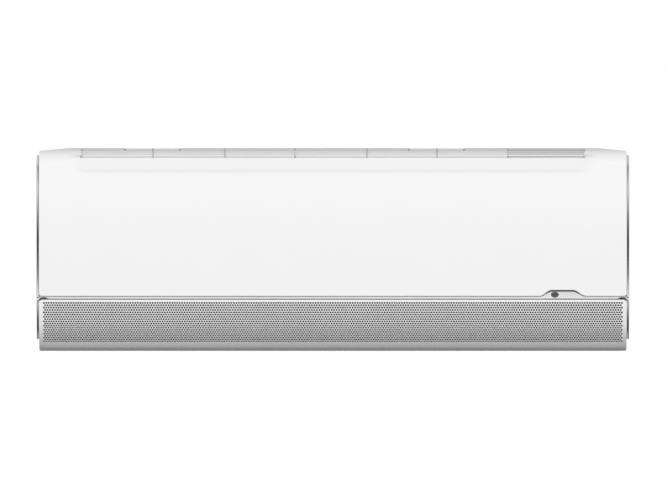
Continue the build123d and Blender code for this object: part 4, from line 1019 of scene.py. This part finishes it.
def makeBar(name, side, low, high):
    section = trimSection()
    heights = spread(low, high, steps=72)

    def place(column, row):
        x, back = section[column]
        z = heights[row]
        return side * x, skinDepth(z, trim["inset"]) + back, z

    piece = gridSheet(name, len(section), len(heights), place)
    mergeDoubles(piece)
    editWhole(piece)
    bpy.ops.mesh.fill_holes(sides=0)
    bpy.ops.mesh.normals_make_consistent(inside=False)
    editDone()
    bevelled(piece, trim["bevel"], segments=2, angle=50)
    settled(piece)
    applied(piece, "WEIGHTED_NORMAL", keep_sharp=True)
    return piece


def trimTop(x):
    # upper edge of the outlet's face, with the receiver's hump and rounded ends
    height = trim["faceTop"] + humpShare(x, trim["humpEase"]) * trim["humpRise"]
    reach = abs(x) - (trim["outer"] - trim["endRadius"])
    if reach > 0:
        height -= trim["endRadius"] - math.sqrt(max(0.0, trim["endRadius"] ** 2 - reach**2))
    return height


def trimColumns(centre, reach):
    # even along the middle, closer over the hump, round the flap's corners and at the ends
    hump = spread(*panel["humpFeet"], steps=36)
    middle = spread(trim["evenStart"], hump[0], steps=40)[:-1]
    ends = spread(trim["endStart"], centre, steps=10)[:-1]
    ends += [centre + reach * math.sin(angle) for angle in spread(0, math.pi / 2, steps=15)]
    ends += [trim["outer"] - trim["endRadius"] * share for share in trim["endShares"]]
    return sorted([*(-x for x in ends), *middle, *hump, *ends])


def makeTrimFace():
    centre = flapCorner()
    reach = flap["corner"] + trim["faceGap"]
    columns = trimColumns(centre[0], reach)
    shares = [share ** trim["rowCrowding"] for share in spread(0, 1, steps=22)]

    def place(column, row):
        x = columns[column]
        # the lower edge keeps one gap to the flap and follows it round its corner
        run = max(0.0, abs(x) - centre[0])
        low = centre[1] + math.sqrt(max(0.0, reach**2 - run**2))
        z = low + (trimTop(x) - low) * shares[row]
        # it rolls back along that edge, and more so towards the corner
        grown = smoothStep(trim["endStart"], trim["endFull"], abs(x))
        grown -= trim["endEase"] * smoothStep(trim["endFull"], centre[0] + reach, abs(x))
        roll = trim["faceRoll"] + trim["endRoll"] * grown
        away = math.hypot(run, max(0.0, z - centre[1])) - reach
        tilt = min(1.0, max(0.0, 1 - away / roll))
        back = roll * (1 - math.sqrt(1 - tilt**2))
        crown = trim["crown"] * max(0.0, shares[row] - trim["crownStart"]) / (1 - trim["crownStart"])
        return x, skinDepth(z, trim["faceInset"] + crown) - back, z

    piece = gridSheet("outletTrimFace", len(columns), len(shares), place)
    mergeDoubles(piece)
    faceOutwards(piece)
    applied(piece, "SOLIDIFY", thickness=trim["faceWall"], offset=-1)
    settled(piece, angle=40)
    return piece


finishPiece(makeTrimFace(), "body", surfaces["trimChrome"], "silver_trim", "outlet_trim")
for side, end in sides:
    upper = makeBar("sideBar" + end, side, trim["sideLow"], trim["sideHigh"])
    finishPiece(upper, "panel", surfaces["trimChrome"], "silver_trim", "side_trim_" + end.lower())
    lower = makeBar("outletLeg" + end, side, trim["legLow"], trim["legHigh"])
    finishPiece(lower, "body", surfaces["trimChrome"], "silver_trim")
print("bright trims ready")


# Pieces that keep the part's shape, with their curves shaded smoothly

copies = {
    # node: name, surface, angle under which edges shade smoothly
    "air_filter_left": ("filterLeft", "stripWhite", 25),
    "air_filter_right": ("filterRight", "stripWhite", 25),
    "vent_grille": ("ventGrille", "stripWhite", 25),
    "front_frame": ("frontFrame", "frameWhite", 30),
    "gas_pipe": ("gasPipe", "copper", 40),
    "liquid_pipe": ("liquidPipe", "copper", 40),
    "evaporator_bends": ("tubeBends", "copper", 40),
    "pipe_insulation": ("pipeInsulation", "foam", 40),
    "fan_motor": ("fanMotor", "motorBody", 30),
    "inner_louver": ("innerLouver", "innerWhite", 30),
    "flap_carrier": ("flapCarrier", "carrierWhite", 30),
}
slotOf = {entry["node"]: entry["material_slot"] for entry in frame["record"]["subparts"]}
bodyOf = {node: body for body, nodes in frame["record"]["behaviour"]["bodies"].items() for node in nodes}
for node, (name, surface, angle) in copies.items():
    finishPiece(smoothCopy(node, name, angle), bodyOf[node], surfaces[surface], slotOf[node])
print("smooth copies ready:", len(copies))


# Every node that stays takes the surface of its material slot

slotSurfaces = {
    "shell_white": "frameWhite",
    "panel_white": "panelGloss",
    "filter_white": "filterWhite",
    "filter_mesh": "filterMesh",
    "silver_trim": "trimChrome",
    "lens_dark": "lensDark",
    "flap_perforated": "flapWhite",
    "inner_white": "innerWhite",
    "chassis_grey": "chassisGrey",
    "vane_dark": "vaneDark",
    "zinc_steel": "zinc",
    "fin_aluminium": "finPack",
    "copper_tube": "copper",
    "union_brass": "brass",
    "foam": "foam",
    "fan_grey": "fanGrey",
    "steel": "steel",
    "motor_white": "motorBody",
    "motor_metal": "paintedMotor",
    "board_green": "board",
    "seal_rubber": "rubberBlack",
}
for node, piece in frame["nodes"].items():
    for slotted in piece.material_slots:
        slotted.material = surfaces[slotSurfaces[slotOf[node]]]
print("nodes dressed:", len(frame["nodes"]))


# Floor, light and camera

studio = {
    "floorHeight": -0.75,
    "floorSize": 5.0,
    "cameraDistance": 30.0,
    "cameraReach": (0.1, 120),
    "cameraAim": (0.0002, -0.0007),
    "frameWidth": 1.0567,
    "frontPlane": 0.175,
    "keyStrength": 2.2,
    "keyTilt": 6,
    "keySpread": 50,
    # soft light by the height of its direction, then the bands of light that the bright trims mirror
    "soft": [
        (0.0, 0.06), (0.3, 0.14), (0.42, 0.34), (0.5, 0.6),
        (0.57, 0.56), (0.7, 0.22), (0.85, 0.16), (1.0, 0.36),
    ],
    "shine": [
        (0.0, 0.45), (0.02, 0.45), (0.047, 0.10), (0.126, 0.10), (0.19, 0.23), (0.25, 0.42), (0.29, 0.56),
        (0.35, 0.68), (0.394, 1.25), (0.406, 1.0), (0.436, 0.36), (0.471, 0.14), (0.5, 0.075), (0.52, 0.075),
        (0.553, 0.34), (0.606, 1.0), (0.65, 0.39), (0.68, 0.9), (1.0, 0.85),
    ],
    # those bands give way to one even level towards both sides
    "sideLevel": 0.62,
    "sideReach": (0.8, 0.97),
}


def makeFloor():
    deselectAll()
    bpy.ops.mesh.primitive_plane_add(size=studio["floorSize"], location=(0, 0, studio["floorHeight"]))
    floor = fresh("studioFloor")
    settled(floor)
    finish = Finish("floorPale")
    floor.data.materials.append(
        finish.surface(
            Base_Color=finish.blend(finish.noise(6), (0.90, 0.90, 0.90), (0.93, 0.93, 0.93)),
            Roughness=0.8 + 0.1 * finish.noise(40),
            Emission_Color=(1, 1, 1, 1),
            Emission_Strength=0.28,
        )
    )
    floor.visible_diffuse = False
    floor.visible_glossy = False


def skyRamp(sky, height, stops):
    # brightness by the height of the direction, from -1 to 1
    share = sky.node("ShaderNodeMapRange", Value=height, From_Min=-1.0)
    return sky.node("ShaderNodeValToRGB", settings={"stops": stops}, i0=share)


def makeWorld():
    world = bpy.data.worlds.new("studioWorld")
    bpy.context.scene.world = world
    sky = Network(world)
    direction = sky.node("ShaderNodeTexCoord", out="Generated")
    height = sky.node("ShaderNodeSeparateXYZ", out="Z", Vector=direction)
    across = sky.node("ShaderNodeSeparateXYZ", out="X", Vector=direction)
    soft = skyRamp(sky, height, studio["soft"])
    shine = skyRamp(sky, height, studio["shine"])
    low, high = studio["sideReach"]
    beside = sky.node("ShaderNodeMapRange", Value=sky.maths("ABSOLUTE", across), From_Min=low, From_Max=high)
    shine = sky.blend(beside, shine, [studio["sideLevel"]] * 3)
    glossy, camera, through = (
        sky.node("ShaderNodeLightPath", out=kind)
        for kind in ("Is Glossy Ray", "Is Camera Ray", "Is Transmission Ray")
    )
    light = sky.blend(glossy, soft, shine)
    shown = sky.blend(sky.maths("MAXIMUM", camera, through), light, (1, 1, 1))
    sky.node("ShaderNodeOutputWorld", Surface=sky.node("ShaderNodeBackground", Color=shown))


def makeLights():
    key = bpy.data.lights.new("studioKey", "SUN")
    key.energy = studio["keyStrength"]
    key.angle = math.radians(studio["keySpread"])
    lamp = bpy.data.objects.new("studioKey", key)
    lamp.rotation_euler = (math.radians(90 - studio["keyTilt"]), 0, 0)
    lamp.visible_glossy = False
    bpy.context.scene.collection.objects.link(lamp)


def makeCamera():
    camera = bpy.data.cameras.new("studioCamera")
    distance = studio["cameraDistance"]
    camera.lens = camera.sensor_width * (distance - studio["frontPlane"]) / studio["frameWidth"]
    camera.clip_start, camera.clip_end = studio["cameraReach"]
    holder = bpy.data.objects.new("studioCamera", camera)
    across, up = studio["cameraAim"]
    holder.location = (across, -distance, up)
    holder.rotation_euler = (math.pi / 2, 0, 0)
    bpy.context.scene.collection.objects.link(holder)
    bpy.context.scene.camera = holder


makeFloor()
makeWorld()
makeLights()
makeCamera()
bpy.context.scene.view_settings.view_transform = "Standard"
print("studio ready")
